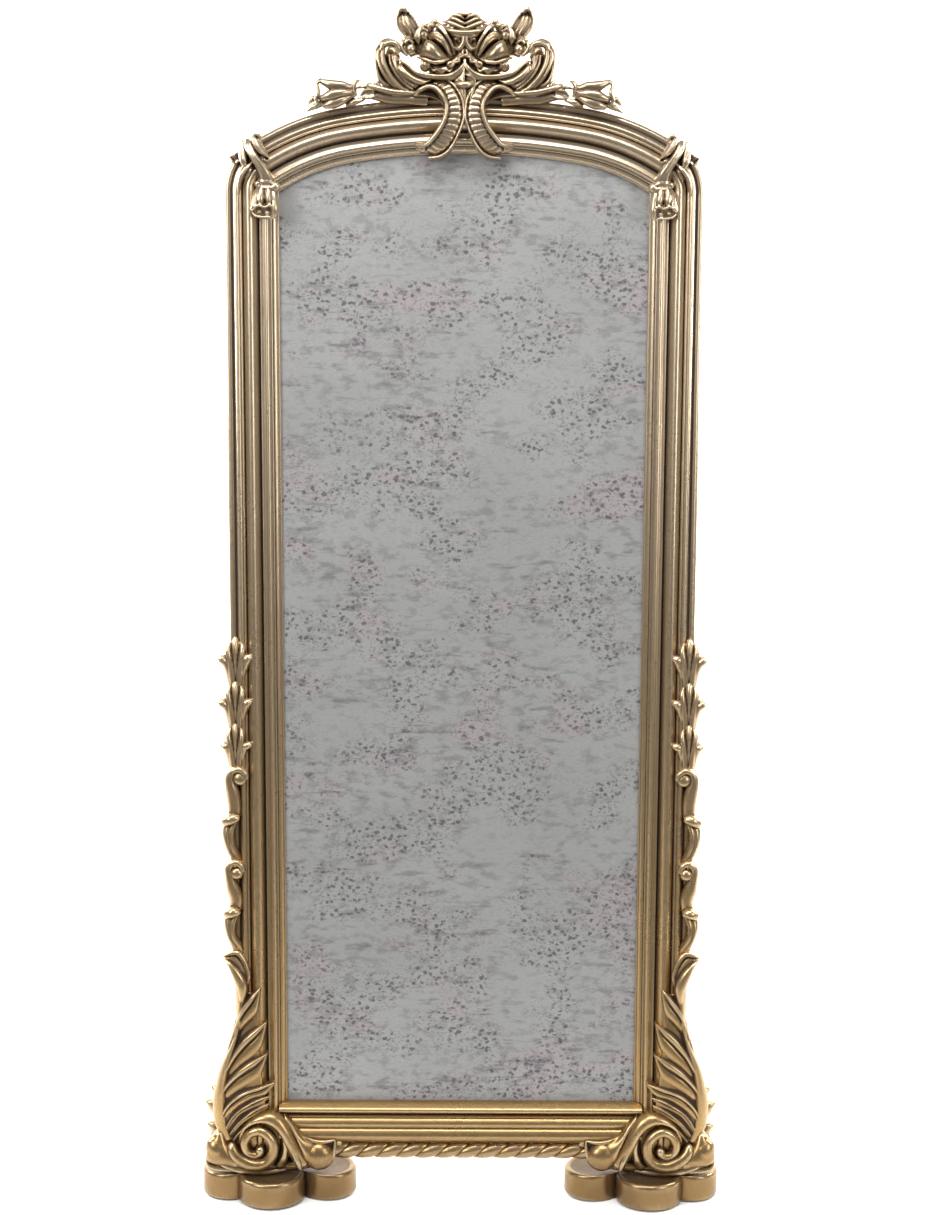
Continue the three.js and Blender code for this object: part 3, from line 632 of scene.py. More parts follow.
def antique_glass():
    """Grey mirror whose silver has gone cloudy: small round spots in drifts, short flecks and pinkish
    patches."""
    look = bpy.context.scene.mirror_finish
    f = Finish("antiqued_mirror")
    broad = f.noise(4, f.place((1, 1, 1.5)), detail=3)
    drift = f.noise(9, f.place((0.8, 1, 1.25)), detail=3, roughness=0.5)
    drift_two = f.noise(6.5, f.place((0.7, 1, 1.5)), detail=3, roughness=0.55)
    mottle = f.noise(70, f.place((0.6, 1, 1.1)), detail=4, roughness=0.6)
    wobble = f.node("ShaderNodeTexNoise", {}, {"Vector": f.place(), "Scale": 130, "Detail": 2}, "Color")
    bent = f.node("ShaderNodeVectorMath", {"operation": "SCALE"}, {0: wobble, "Scale": 0.009})
    at = f.node("ShaderNodeVectorMath", {"operation": "ADD"}, {0: f.place((0.8, 1, 1)), 1: bent})
    spot = f.node("ShaderNodeTexVoronoi", {}, {"Vector": at, "Scale": 104}, "Distance")
    speck = f.node("ShaderNodeTexVoronoi", {}, {"Vector": at, "Scale": 190}, "Distance")
    streak = f.noise(52, f.place((0.3, 1, 1.4)), detail=3, roughness=0.55)
    grain = f.noise(300, f.place((0.4, 1, 1.3)), detail=2, roughness=0.6)
    dots = (0.43 - spot).ramp(0.0, 0.24) * drift.ramp(0.47, 0.57)
    specks = (0.4 - speck).ramp(0.0, 0.16) * drift.ramp(0.42, 0.56)
    dashes = streak.ramp(0.57, 0.69) * drift_two.ramp(0.4, 0.54)
    blots = mottle.ramp(0.47, 0.68)
    tone = f.mix(broad.ramp(0.35, 0.65), tuple(look.silver), tuple(look.silver_light))
    tone = f.mix((drift.ramp(0.44, 0.56) * drift_two.ramp(0.48, 0.62)) * 0.75, tone, tuple(look.blush))
    tone = f.mix(grain.ramp(0.35, 0.8) * 0.34, tone, tuple(look.silver_dark))
    tone = f.mix(blots * (drift_two.ramp(0.3, 0.6) * 0.45 + 0.28), tone, tuple(look.silver_dark))
    spoiled = (dots * 0.95 + specks * 0.5 + dashes * 0.5).clamped()
    colour = f.mix(spoiled * look.foxing, tone, tuple(look.fox))
    roughness = 0.42 + spoiled * 0.3 + blots * 0.1
    return f.done(Base_Color=colour, Metallic=0.14 - spoiled * 0.1, Roughness=roughness)


def timber(name, base, dark, along):
    """Sawn softwood: growth lines drawn out along the board."""
    f = Finish(name)
    scale = tuple(0.08 if k == along else 1.0 for k in range(3))
    lines = f.noise(90, f.place(scale), detail=5, roughness=0.6, distortion=0.6)
    broad = f.noise(6, f.place(scale), detail=3)
    colour = f.mix(lines.ramp(0.35, 0.75) * 0.7, base, dark)
    colour = f.mix(broad.ramp(0.4, 0.7) * 0.35, colour, dark)
    return f.done(
        Base_Color=colour, Roughness=0.66 + (lines - 0.5) * 0.3, Normal=f.bump(lines, 0.0006, 0.5)
    )


def felt():
    f = Finish("glide_felt")
    fuzz = f.noise(900, detail=3, roughness=0.7)
    colour = f.mix(fuzz, rgb(38, 34, 32), rgb(66, 60, 56))
    return f.done(Base_Color=colour, Roughness=0.95, Normal=f.bump(fuzz, 0.0006, 0.8))


# ---- Carvings at the base ---------------------------------------------------------------------------------

# Feathers of the acanthus, from the top down: the upper edge from root to tip, then the lower edge.
FEATHERS = [
    (
        [(-52, 258), (-42, 290), (-33, 312), (-18, 335), (-8, 345), (2, 352)],
        [(-50, 246), (-38, 264), (-22, 284), (-5, 303), (0, 325), (3, 351)],
    ),
    (
        [(-72, 172), (-60, 205), (-45, 236), (-26, 262), (-8, 276), (11, 287)],
        [(-68, 160), (-54, 178), (-38, 197), (-12, 220), (4, 243), (12, 284)],
    ),
    (
        [(-76, 138), (-64, 170), (-45, 195), (-27, 210), (-10, 219), (12, 228)],
        [(-73, 124), (-58, 140), (-42, 152), (-20, 167), (0, 184), (13, 226)],
    ),
    (
        [(-73, 104), (-64, 128), (-48, 148), (-28, 160), (-3, 167), (25, 174)],
        [(-70, 94), (-55, 112), (-38, 126), (-14, 142), (10, 150), (26, 170)],
    ),
    (
        [(-64, 88), (-53, 109), (-40, 124), (-26, 134), (-10, 142), (15, 148)],
        [(-60, 80), (-48, 98), (-36, 112), (-20, 122), (-2, 130), (14, 140)],
    ),
    (
        [(-58, 74), (-50, 88), (-40, 102), (-28, 113), (-12, 124), (14, 134)],
        [(-54, 68), (-45, 80), (-36, 92), (-24, 102), (-8, 111), (12, 122)],
    ),
    (
        [(-52, 64), (-44, 76), (-36, 87), (-26, 97), (-12, 107), (10, 116)],
        [(-48, 58), (-40, 70), (-32, 80), (-22, 88), (-8, 95), (8, 103)],
    ),
]


def acanthus():
    """A broad smooth leaf that leans outwards, with feathers lapping over one another towards the stile."""
    outer = [(-66, 406), (-57, 388), (-48, 362), (-44, 339), (-43, 310), (-45, 277), (-52, 247), (-64, 221)]
    outer += [(-75, 195), (-83, 165), (-88, 138), (-88, 112), (-85, 88), (-70, 58)]
    inner = [(-62, 407), (-44, 410), (-26, 394), (-19, 366), (-22, 338), (-28, 310), (-34, 280), (-40, 250)]
    inner += [(-48, 222), (-55, 192), (-59, 160), (-60, 130), (-58, 100), (-52, 62)]
    solids = [between(outer, inner, [14, 18, 20, 20, 18, 16], [10, 15, 18, 20, 20, 12], 2, ROUND, rows=90)]
    bed_one = [(-42, 342), (-44, 300), (-54, 255), (-68, 205), (-76, 150), (-76, 100), (-62, 60)]
    bed_other = [(-10, 338), (-7, 300), (-3, 262), (0, 210), (4, 165), (8, 125), (0, 84)]
    solids.append(
        between(bed_one, bed_other, [17, 22, 25, 27, 27, 26, 22], [7, 8, 8, 9, 9, 9, 8], 2, ROUND, lean=-3)
    )
    for upper, lower in FEATHERS:
        solids.append(
            between(upper, lower, [26, 27, 28, 28, 27], [5, 11, 14, 12, 5], 6, FEATHER, lean=2.5, rows=80)
        )
    flame = [(-64, 405, 30), (-52, 394, 34), (-40, 376, 36), (-31, 352, 36), (-32, 318, 32)]
    solids.append(run(flame, [1.5, 5, 9, 9, 3], [2, 6, 8, 7, 2]))
    lip = [(-66, 408, 28), (-50, 413, 26), (-38, 412, 24), (-27, 396, 24), (-20, 372, 24), (-23, 346, 22)]
    solids.append(run(lip, [1.5, 4, 5, 5, 4, 2], [2, 4, 6, 6, 6, 3]))
    return solids


def volute():
    """A fat band wound in to an eye, in the hollow of a hood that runs over it from the feathers to the
    toe."""
    ring = [
        (-55, 60, 31), (-51, 43, 35), (-37, 29, 38), (-14, 20, 40), (8, 24, 40), (21, 42, 40), (21, 63, 40)
    ]
    ring += [
        (9, 79, 40), (-6, 84, 39), (-22, 76, 38), (-30, 59, 38), (-25, 43, 37), (-12, 37, 36),
        (-2, 44, 36), (-5, 54, 36),
    ]
    solids = [
        run(
            ring,
            [8.5, 10.5, 11, 10.5, 9.5, 9, 8.5, 8, 7, 7.5, 9],
            [8, 10, 11, 10, 10, 9, 8, 8, 8, 8, 9],
            rows=120,
            ends=(0.06, 0.05),
        )
    ]
    solids.append(ball((-4, 52, 14), (50, 48, 12)))
    outer = [
        (-46, 56), (-42, 78), (-30, 98), (-8, 115), (16, 120), (37, 111), (52, 92), (64, 70), (78, 46),
        (92, 26),
    ]
    inner = [
        (-36, 56), (-32, 74), (-24, 88), (-10, 96), (6, 97), (22, 90), (34, 76), (43, 56), (52, 34),
        (66, 12),
    ]
    solids.append(
        between(
            outer,
            inner,
            [20, 24, 28, 31, 33, 33, 31, 27],
            [10, 14, 15, 15, 14, 15, 16, 14],
            4,
            ROUND,
            lean=-3,
            rows=90,
        )
    )
    solids.append(run([(46, 60, 14), (40, 36, 14), (30, 12, 14)], [14, 14, 10], [12, 12, 12]))
    cord = [(-96, 22, 22), (-76, 17, 26), (-53, 9, 30), (-21, 4, 32), (12, 4, 32), (44, 7, 28)]
    solids.append(run(cord, [2, 4.5, 6, 6, 5, 2], [3, 5, 6, 6, 5, 3]))
    return solids


def toe_leaf():
    """A leaf that swells to a bulb over the inner lobe of the foot, with two long drops beside it."""
    fan_left = [(27, 88), (35, 72), (38, 50), (32, 30), (22, 12)]
    fan_right = [(34, 92), (45, 76), (50, 52), (48, 30), (41, 11)]
    solids = [
        between(fan_left, fan_right, [29, 32, 33, 31, 27], [6, 10, 11, 11, 8], 6, ROUND, ends=(0.1, 0.06))
    ]
    drop_left = [(45, 78), (50, 60), (54, 42), (60, 24), (66, 7)]
    drop_right = [(48, 78), (59, 60), (68, 42), (74, 26), (76, 8)]
    solids.append(
        between(drop_left, drop_right, [31, 35, 38, 38, 34], [3, 8, 10, 11, 8], 6, ROUND, ends=(0.05, 0.12))
    )
    body_top = [(40, 112), (56, 98), (68, 82), (82, 70), (102, 64), (126, 64)]
    body_low = [(52, 84), (64, 64), (74, 40), (84, 16), (106, 8), (124, 30)]
    solids.append(
        between(body_top, body_low, [24, 27, 29, 29, 26, 20], [10, 14, 16, 18, 16, 8], 2, ROUND, rows=70)
    )
    solids.append(ball((102, 35, 28), (30, 27, 22), -14))
    wing = [(62, 82, 30), (80, 69, 31), (98, 63, 32), (116, 62, 32), (133, 65, 32)]
    solids.append(run(wing, [4, 4, 4, 3.5, 1.5], [6, 6, 6, 5, 2]))
    side = [(133, 64, 30), (132, 48, 32), (127, 30, 32), (115, 14, 31), (100, 8, 30)]
    solids.append(run(side, [1.5, 3, 3.5, 3.5, 2], [3, 6, 7, 6, 3]))
    solids.append(run([(112, 60, 18), (130, 56, 18), (144, 54, 16)], [10, 9, 6], [12, 12, 8]))
    solids.append(run([(10, 8, 14), (60, 12, 14), (110, 18, 12)], [8, 12, 8], [12, 14, 10]))
    return solids


def heel_leaf():
    """A full leaf over the outer lobe of the foot, turned under along its lower edge."""
    top = [(-72, 78), (-60, 52), (-46, 33), (-28, 20), (-6, 10)]
    low = [(-86, 72), (-99, 48), (-98, 24), (-70, 14), (-20, 6)]
    solids = [between(top, low, [22, 28, 30, 28, 26], [8, 13, 14, 10, 5], 2, ROUND, rows=70, lean=1)]
    solids.append(ball((-80, 42, 24), (21, 27, 20), 24))
    solids.append(ball((-58, 26, 24), (30, 13, 18), -24))
    lower = [(-100, 30, 20), (-97, 14, 24), (-84, 8, 27), (-60, 5, 28), (-28, 2, 28)]
    solids.append(run(lower, [2.5, 4.5, 5, 4, 2.5], [4, 6, 6, 5, 3]))
    return solids


def rear_leaf():
    """Behind the stile: a smooth stem with toothed lobes towards the outside."""
    t = -FRAME_BACK - 12
    solids = [
        between(
            [(-20, 0), (-22, 80), (-24, 160), (-26, 260), (-32, 345)],
            [(-70, 0), (-88, 80), (-82, 160), (-52, 260), (-34, 350)],
            [t + 2, t + 2],
            [8, 8],
            t - 13,
        )
    ]
    for x, z, size in (
        (-101, 46, 1.0), (-107, 70, 1.1), (-109, 112, 1.15), (-99, 140, 1.0), (-79, 176, 0.9)
    ):
        line = [(x + 52, z - 50, t), (x + 30, z - 26, t + 3), (x + 12, z - 8, t + 5), (x, z, t + 3)]
        solids.append(run(line, [6 * size, 11 * size, 9 * size, 2], [8, 10, 8, 3], ROUND))
    return solids


# ---- Carvings up the edge of the stile --------------------------------------------------------------------


def husk(foot, size, tips):
    """A bellflower husk on a foot point: a slim tongue between two broader ones, and a lip that curls out
    on each side. tips are the ends of the lips from the foot."""
    x, z = foot

    def put(points):
        return [(x + px * size, z + pz * size, t) for px, pz, t in points]

    solids = []
    middle = [(0, 10, 20), (0, 34, 23), (0, 58, 25), (0, 76, 24), (0, 84, 20)]
    solids.append(run(put(middle), [1.5, 3 * size, 5.5 * size, 6 * size, 2], [6, 9, 10, 8, 3]))
    for side in (-1, 1):
        half = [
            (side * 5, 0, 17), (side * 7.5, 26, 21), (side * 10.5, 48, 24), (side * 12.5, 64, 24),
            (side * 9, 76, 21),
        ]
        solids.append(run(put(half), [7 * size, 7 * size, 6.5 * size, 5.5 * size, 2], [10, 10, 11, 9, 3]))
    for side, (tx, tz) in zip((-1, 1), tips):
        lip = [
            (side * 8, 0, 14), (side * 11, 22, 18), (side * 17, 38, 22), (tx * 0.8, tz - 5, 26),
            (tx, tz - 2, 26),
        ]
        solids.append(
            run(put(lip), [7 * size, 8 * size, 8 * size, 8 * size, 3], [9, 9, 10, 9, 4], ends=(0, 0.12))
        )
        if side > 0:
            solids.append(
                ball((x + (tx * 0.88) * size, z + (tz - 4) * size, 26), (7.5 * size, 6.5 * size, 7))
            )
    return solids


def husk_drop():
    """Three husks one above another, the lowest a little smaller."""
    solids = husk((10, 500), 1.0, ((-31, 51), (27, 53)))
    solids += husk((9, 424), 0.98, ((-31, 50), (27, 51)))
    solids += husk((8, 352), 0.94, ((-25, 46), (28, 48)))
    solids.append(run([(9, 505, 6), (9, 430, 6), (9, 356, 6)], [9, 9, 9], [10, 10, 10]))
    return solids


def side_scroll(hook, eye, eye_r, cap, leaf_one, leaf_other, tail):
    """A stem that rises to a hook round an eye, and below it a capped leaf whose flutes run down to a
    tail."""
    solids = [run(hook, [11, 12, 12, 9, 7, 6.5, 6, 5], [9, 10, 11, 10, 9, 9, 8, 6], rows=80)]
    solids.append(ball(eye, (eye_r, eye_r * 0.96, 9)))
    solids.append(
        between(leaf_one, leaf_other, [17, 19, 19, 15, 10], [7, 10, 11, 10, 6], 0, reeded(2, 0.4))
    )
    solids.append(run(cap, [4.5, 8.5, 10, 8.5, 4.5], [6, 9, 11, 9, 6], ends=(0.14, 0.14)))
    solids.append(run(tail, [9, 8, 7, 4], [12, 12, 11, 8]))
    return solids


def side_scroll_upper():
    hook = [
        (4, 262, 17), (4, 286, 20), (1, 308, 22), (-3, 328, 24), (1, 344, 25), (13, 349, 26),
        (24, 342, 26), (26, 331, 26),
    ]
    cap = [(-15, 246, 24), (-10, 254, 27), (-2, 259, 29), (7, 261, 28), (13, 260, 25)]
    one = [(-16, 248), (-18, 226), (-13, 203), (-4, 182), (6, 166)]
    other = [(13, 258), (5, 236), (6, 214), (14, 190), (26, 164)]
    return side_scroll(
        hook, (15, 332, 26), 12.5, cap, one, other, [(2, 262, 8), (-2, 230, 8), (4, 196, 8), (18, 170, 8)]
    )


def side_scroll_lower():
    hook = [
        (4, 92, 17), (5, 112, 20), (0, 130, 22), (-5, 150, 24), (-7, 168, 25), (2, 180, 26), (14, 176, 26),
        (19, 163, 26),
    ]
    cap = [(-14, 78, 24), (-9, 85, 27), (-1, 89, 29), (6, 89, 28), (12, 86, 25)]
    one = [(-16, 78), (-17, 58), (-12, 38), (-4, 18), (4, 0)]
    other = [(12, 84), (5, 64), (6, 44), (15, 26), (24, 4)]
    return side_scroll(
        hook, (7, 160, 26), 11.5, cap, one, other, [(2, 96, 8), (-3, 62, 8), (4, 30, 8), (16, 8, 8)]
    )


# ---- Carvings at the shoulders ----------------------------------------------------------------------------


def corner_clasp():
    """A reeded strap that crosses the shoulder and is tied at its foot, with leaves curling off both
    sides."""
    solids = [run([(-49, 74, 14), (-36, 48, 18), (-20, 18, 16)], [11, 14, 12], [12, 14, 12])]
    strap_one = [(-58, 84), (-55, 70), (-49, 58), (-40, 44), (-32, 28), (-28, 14)]
    strap_other = [(-45, 88), (-40, 74), (-31, 58), (-19, 42), (-11, 30), (-6, 18)]
    solids.append(
        between(
            strap_one,
            strap_other,
            [26, 33, 36, 36, 34, 30],
            [4, 8, 10, 10, 10, 8],
            12,
            reeded(2, 0.3),
            ends=(0.16, 0),
        )
    )
    leaf_one = [(-42, 90), (-41, 79), (-35, 67), (-27, 59), (-16, 54)]
    leaf_other = [(-35, 91), (-28, 83), (-22, 72), (-17, 62), (-13, 52)]
    solids.append(
        between(leaf_one, leaf_other, [36, 40, 42, 41, 36], [3, 6, 7, 5, 1.5], 8, RIDGE, ends=(0.12, 0.05))
    )
    curl = [(-40, 89, 34), (-34, 92, 38), (-28, 88, 38), (-29, 80, 36)]
    solids.append(run(curl, [3, 3.6, 3.2, 2], [5, 6, 6, 4]))
    solids.append(run([(-30, 56, 28), (-24, 52, 31), (-17, 48, 30)], [2.5, 3.5, 1.5], [5, 6, 3]))
    left_one = [(-62, 84), (-66, 66), (-63, 48), (-56, 36)]
    left_other = [(-57, 84), (-53, 67), (-51, 52), (-51, 40)]
    solids.append(
        between(left_one, left_other, [26, 31, 34, 32], [3, 6, 6, 4], 8, reeded(2, 0.4), ends=(0.1, 0.1))
    )
    ribbon = [(-41, 47, 30), (-49, 38, 36), (-57, 29, 36), (-63, 18, 32), (-66, 4, 26), (-67, -10, 20)]
    solids.append(run(ribbon, [2, 3.4, 3.8, 3.6, 3, 1.5], [3, 6, 7, 6, 5, 2]))
    fold = [(-42, 40, 26), (-48, 31, 29), (-54, 18, 27)]
    solids.append(run(fold, [2.5, 4.5, 2], [5, 6, 3]))
    flap_one = [(-60, 74), (-68, 66), (-76, 60), (-84, 58)]
    flap_other = [(-60, 50), (-66, 47), (-72, 43), (-78, 50)]
    solids.append(between(flap_one, flap_other, [14, 16, 18, 20], [4, 5, 5, 3], 8, HOLLOW, ends=(0, 0.1)))
    solids.append(run([(-84, 58, 20), (-78, 49, 23), (-71, 43, 22)], [1.5, 2.2, 1.5], [3, 4, 3]))
    solids.append(ball((-34, 11, 27), (6, 5.5, 7)))
    solids.append(ball((-19, 14, 29), (15, 9, 10), -12))
    solids.append(ball((-3, 7, 32), (8.5, 7, 9), -30))
    solids.append(
        run([(-34, 8, 27), (-22, 5, 32), (-10, 4, 34), (-1, 1, 32)], [3, 4, 4.5, 3], [5, 6, 7, 5])
    )
    return solids


def bellflower():
    """Petals that flare to an open mouth with two stamens in it."""
    solids = []
    for points in (
        [(-31, 6, 26), (-35, -6, 30), (-37, -17, 34), (-39, -26, 36), (-44, -33, 34)],
        [(-26, 8, 30), (-28, -4, 35), (-28, -15, 38), (-29, -25, 40)],
        [(-16, 8, 30), (-15, -4, 36), (-14, -15, 39), (-13, -24, 41)],
        [(-11, 6, 26), (-7, -6, 31), (-5, -18, 35), (-4, -32, 37), (-5, -46, 34)],
    ):
        width = [4.5] + [6] * (len(points) - 2) + [3]
        solids.append(run(points, width, [5] + [8] * (len(points) - 2) + [4]))
    rim = [(-45, -33, 34), (-38, -27, 40), (-30, -25, 43), (-21, -28, 42), (-12, -25, 43), (-4, -31, 40)]
    solids.append(run(rim, [1.5, 2.4, 2.4, 2, 2.4, 1.8], [2, 4, 4, 4, 4, 2], rows=60))
    lower = [(-43, -35, 32), (-38, -41, 33), (-28, -44, 34), (-16, -44, 34), (-6, -47, 33)]
    solids.append(run(lower, [1.6, 2.2, 2.2, 2.2, 1.6], [3, 4, 4, 4, 3]))
    for x, z, r in ((-30, -35, 4), (-17, -37, 5)):
        solids.append(ball((x, z, 34), (r, r * 0.9, 6)))
    solids.append(run([(-21, 6, 14), (-22, -16, 18), (-24, -42, 18)], [10, 14, 16], [10, 12, 8]))
    return solids


# ---- Carvings on the crest --------------------------------------------------------------------------------


def even_line(points, count):
    """Rows of the smooth curve through the points, an equal way apart."""
    line = spline(points, 8 * count)
    way = np.concatenate([[0], np.cumsum(np.linalg.norm(np.diff(line, axis=0), axis=1))])
    at = np.linspace(0, way[-1], count)
    return np.stack([np.interp(at, way, column) for column in line.T], -1)


def crest_strap():
    """A ribbed band that curls over the arch from behind, with a smooth rim on its hollow side."""
    rim = [
        (-84, 1), (-74, 10), (-60, 15), (-48, 12), (-38, 1), (-31, -12), (-30, -24), (-33, -38), (-41, -54)
    ]
    rim += [(-52, -68), (-64, -79), (-79, -80)]
    rib_in = [
        (-56, 21), (-48, 20), (-36, 11), (-28, -1), (-25, -14), (-25, -26), (-28, -39), (-35, -53),
        (-45, -67),
    ]
    rib_in += [(-55, -79), (-64, -88)]
    rib_out = [
        (-48, 27), (-34, 25), (-22, 17), (-13, 4), (-7, -9), (-5, -22), (-5, -35), (-9, -49), (-15, -62)
    ]
    rib_out += [(-23, -75), (-35, -88), (-50, -96)]
    outer = [
        (-46, 29), (-33, 28), (-20, 19), (-10, 6), (-3.5, -8), (-1.5, -23), (-1.5, -37), (-6, -52),
        (-12, -66),
    ]
    outer += [(-19, -79), (-30, -92), (-44, -99), (-60, -100)]
    lift = [28, 34, 38, 41, 42, 42, 41, 39, 36, 32, 26]
    bed = [v - 13 for v in lift]
    rise = [9, 12, 13, 13, 13, 13, 13, 13, 12, 11, 8]
    near = even_line(rib_in, 40)
    far = even_line(rib_out, 40)
    across = far - near
    solids = [
        between(near - 0.2 * across, far + 0.12 * across, bed, rise, 2, SLAB, lean=2, ribs=15, rows=320)
    ]
    solids.append(
        run([(-62, 12, 8), (-46, 12, 10), (-33, 0, 12), (-26, -16, 12)], [8, 11, 10, 6], [10, 12, 12, 10])
    )
    tops = [24, 29, 33, 37, 40, 41, 41, 40, 38, 35, 30, 24]
    line = [(x, z, t) for (x, z), t in zip(rim, tops)]
    solids.append(run(line, [2.5] + [4.2] * 10 + [3], [4] + [8] * 10 + [4], rows=110))
    solids.append(
        run([(x, z, t - 12) for x, z, t in line], [3] + [5] * 10 + [3], [5] + [8] * 10 + [5], rows=110)
    )
    tops = [24, 29, 33, 36, 38, 38, 38, 37, 35, 32, 28, 24, 20]
    line = [(x, z, t) for (x, z), t in zip(outer, tops)]
    solids.append(run(line, [1.8] + [2.4] * 11 + [1.8], [4] + [6] * 11 + [4], rows=120))
    solids.append(
        run(
            [(x * 0.97 - 3, z, t - 14) for x, z, t in line],
            [3] + [5] * 11 + [3],
            [5] + [9] * 11 + [5],
            rows=120,
        )
    )
    tail = [(-66, -84, 20), (-74, -84, 20), (-82, -80, 19)]
    solids.append(run(tail, [8, 7, 3], [9, 8, 4]))
    cup = [(-86, 1), (-74, 12), (-60, 17), (-48, 14), (-40, 4), (-36, -8)]
    cup_in = [(-86, 0), (-74, -1), (-62, -2), (-50, -4), (-42, -8), (-37, -14)]
    solids.append(between(cup, cup_in, [26, 24, 20, 16, 14, 14], [3, 5, 6, 6, 5, 4], 0, HOLLOW))
    return solids


def crest_keel():
    """The ridged keystone between the straps, with a bow across it."""
    solids = []
    for side in (-1, 1):
        one = [(0, 56), (0, 44), (0, 32), (0, 16), (0, -12), (0, -42)]
        other = [
            (side * 1, 56), (side * 7, 43), (side * 14, 31), (side * 19, 22), (side * 12, -6),
            (side * 2, -42),
        ]
        solids.append(
            between(one, other, [28, 36, 38, 37, 34, 26], [2, 3, 3, 3, 3, 2], 10, SLAB, lean=-4 * side)
        )
        solids.append(
            run([(0, 35, 39), (side * 9, 29, 37), (side * 18, 21, 32)], [2.4, 2.6, 2], [4, 5, 4], RIDGE)
        )
    solids.append(run([(0, 56, 28), (0, 46, 35), (0, 34, 37)], [1.2, 2, 2], [3, 4, 4], RIDGE))
    bow = [(-18, 21, 32), (-10, 18.5, 38), (0, 17, 41), (10, 18.5, 38), (18, 21, 32)]
    solids.append(run(bow, [2, 5, 6, 5, 2], [3, 6, 7, 6, 3]))
    solids.append(run([(0, 12, 36), (0, -10, 35), (0, -38, 28)], [6, 4, 1.5], [7, 6, 3], RIDGE))
    solids.append(run([(0, 50, 6), (0, 0, 8), (0, -40, 8)], [16, 20, 8], [10, 12, 8]))
    solids.append(ball((0, 22, 10), (26, 24, 12)))
    return solids


def crest_scroll():
    """A fluted scroll whose top hooks over a dark hollow, and a band that runs from it to the keystone."""
    reeds = [
        ([(-144, 82), (-148.5, 70), (-148, 50), (-144.5, 34), (-137, 22), (-124, 15), (-110, 9)], 3.7, 24),
        ([(-139, 83), (-144, 67), (-141.5, 51), (-135, 36), (-125, 23), (-113, 13.5), (-102, 9)], 3.4, 28),
        ([(-135, 80), (-137, 66), (-134, 51), (-125.5, 34), (-115, 21), (-104.5, 12), (-94, 8)], 4.5, 31),
        ([(-126, 67), (-124, 53), (-117, 38), (-107, 25), (-95, 15), (-86, 11)], 2.6, 28),
        ([(-121, 67), (-118, 53), (-112, 39), (-101, 26), (-90, 18), (-81, 14)], 2.6, 30),
        ([(-116, 66), (-114, 50), (-107, 38), (-94, 25), (-78, 16)], 2.9, 31),
    ]
    solids = []
    for line, width, top in reeds:
        raised = [(x, z, top - 4 * k / (len(line) - 1)) for k, (x, z) in enumerate(line)]
        solids.append(
            run(raised, [width * 0.7, width, width, width, width * 0.6], [5, 8, 9, 8, 4], rows=70)
        )
    hook = [
        (-139, 74, 30), (-134, 82, 34), (-123, 85, 37), (-113.5, 82, 38), (-110, 74, 37), (-112, 66, 34)
    ]
    solids.append(run(hook, [3.5, 5, 5.4, 5, 4.5, 2.2], [5, 8, 9, 9, 8, 4], ROUND, rows=70))
    solids.append(
        run(
            [(-147, 75, 26), (-140, 85, 29), (-128, 90, 30), (-114, 88, 30)],
            [3, 3.5, 3.5, 1.5],
            [5, 6, 6, 3],
        )
    )
    upper = [(-111, 53), (-105, 51), (-94, 41), (-82, 33), (-69, 29), (-56, 27)]
    lower = [(-113, 48), (-105, 35), (-93, 25), (-78, 18), (-67, 19), (-56, 25)]
    solids.append(between(upper, lower, [30, 32, 32, 31, 28], [3, 8, 9, 7, 3], 8, ROUND, lean=-2))
    band_one = [
        (-108, 59), (-101, 57), (-93, 52), (-86, 44), (-73, 38), (-52, 35), (-32, 35), (-16, 41), (-3, 53),
        (1, 62),
    ]
    band_other = [
        (-107, 54), (-98, 48), (-89, 39), (-80, 32), (-70, 28.5), (-54, 26.5), (-36, 25), (-20, 25),
        (-9, 32), (1, 46), (3, 58),
    ]
    lifts = [28, 32, 34, 35, 36, 37, 38, 36]
    solids.append(
        between(band_one, band_other, lifts, [4, 5, 6, 6, 6, 6, 5, 3], 10, reeded(2, 0.22), rows=90)
    )
    stem = [(-82, 6, 22), (-98, 5, 26), (-121, 7, 28), (-143, 12, 27), (-158, 17, 24), (-168, 19, 19)]
    solids.append(run(stem, [4, 4.5, 5, 5, 4.5, 1.5], [6, 7, 7, 7, 6, 2]))
    bed = [(-138, 68, 12), (-136, 46, 12), (-120, 24, 12), (-94, 10, 12), (-60, 18, 12)]
    solids.append(run(bed, [9, 13, 14, 12, 10], [10, 12, 12, 12, 12]))
    solids.append(ball((-122, 64, 8), (14, 20, 10)))
    solids.append(
        run([(-112, 46, 8), (-88, 28, 8), (-60, 24, 8), (-20, 26, 8)], [10, 12, 12, 12], [10, 12, 12, 12])
    )
    return solids


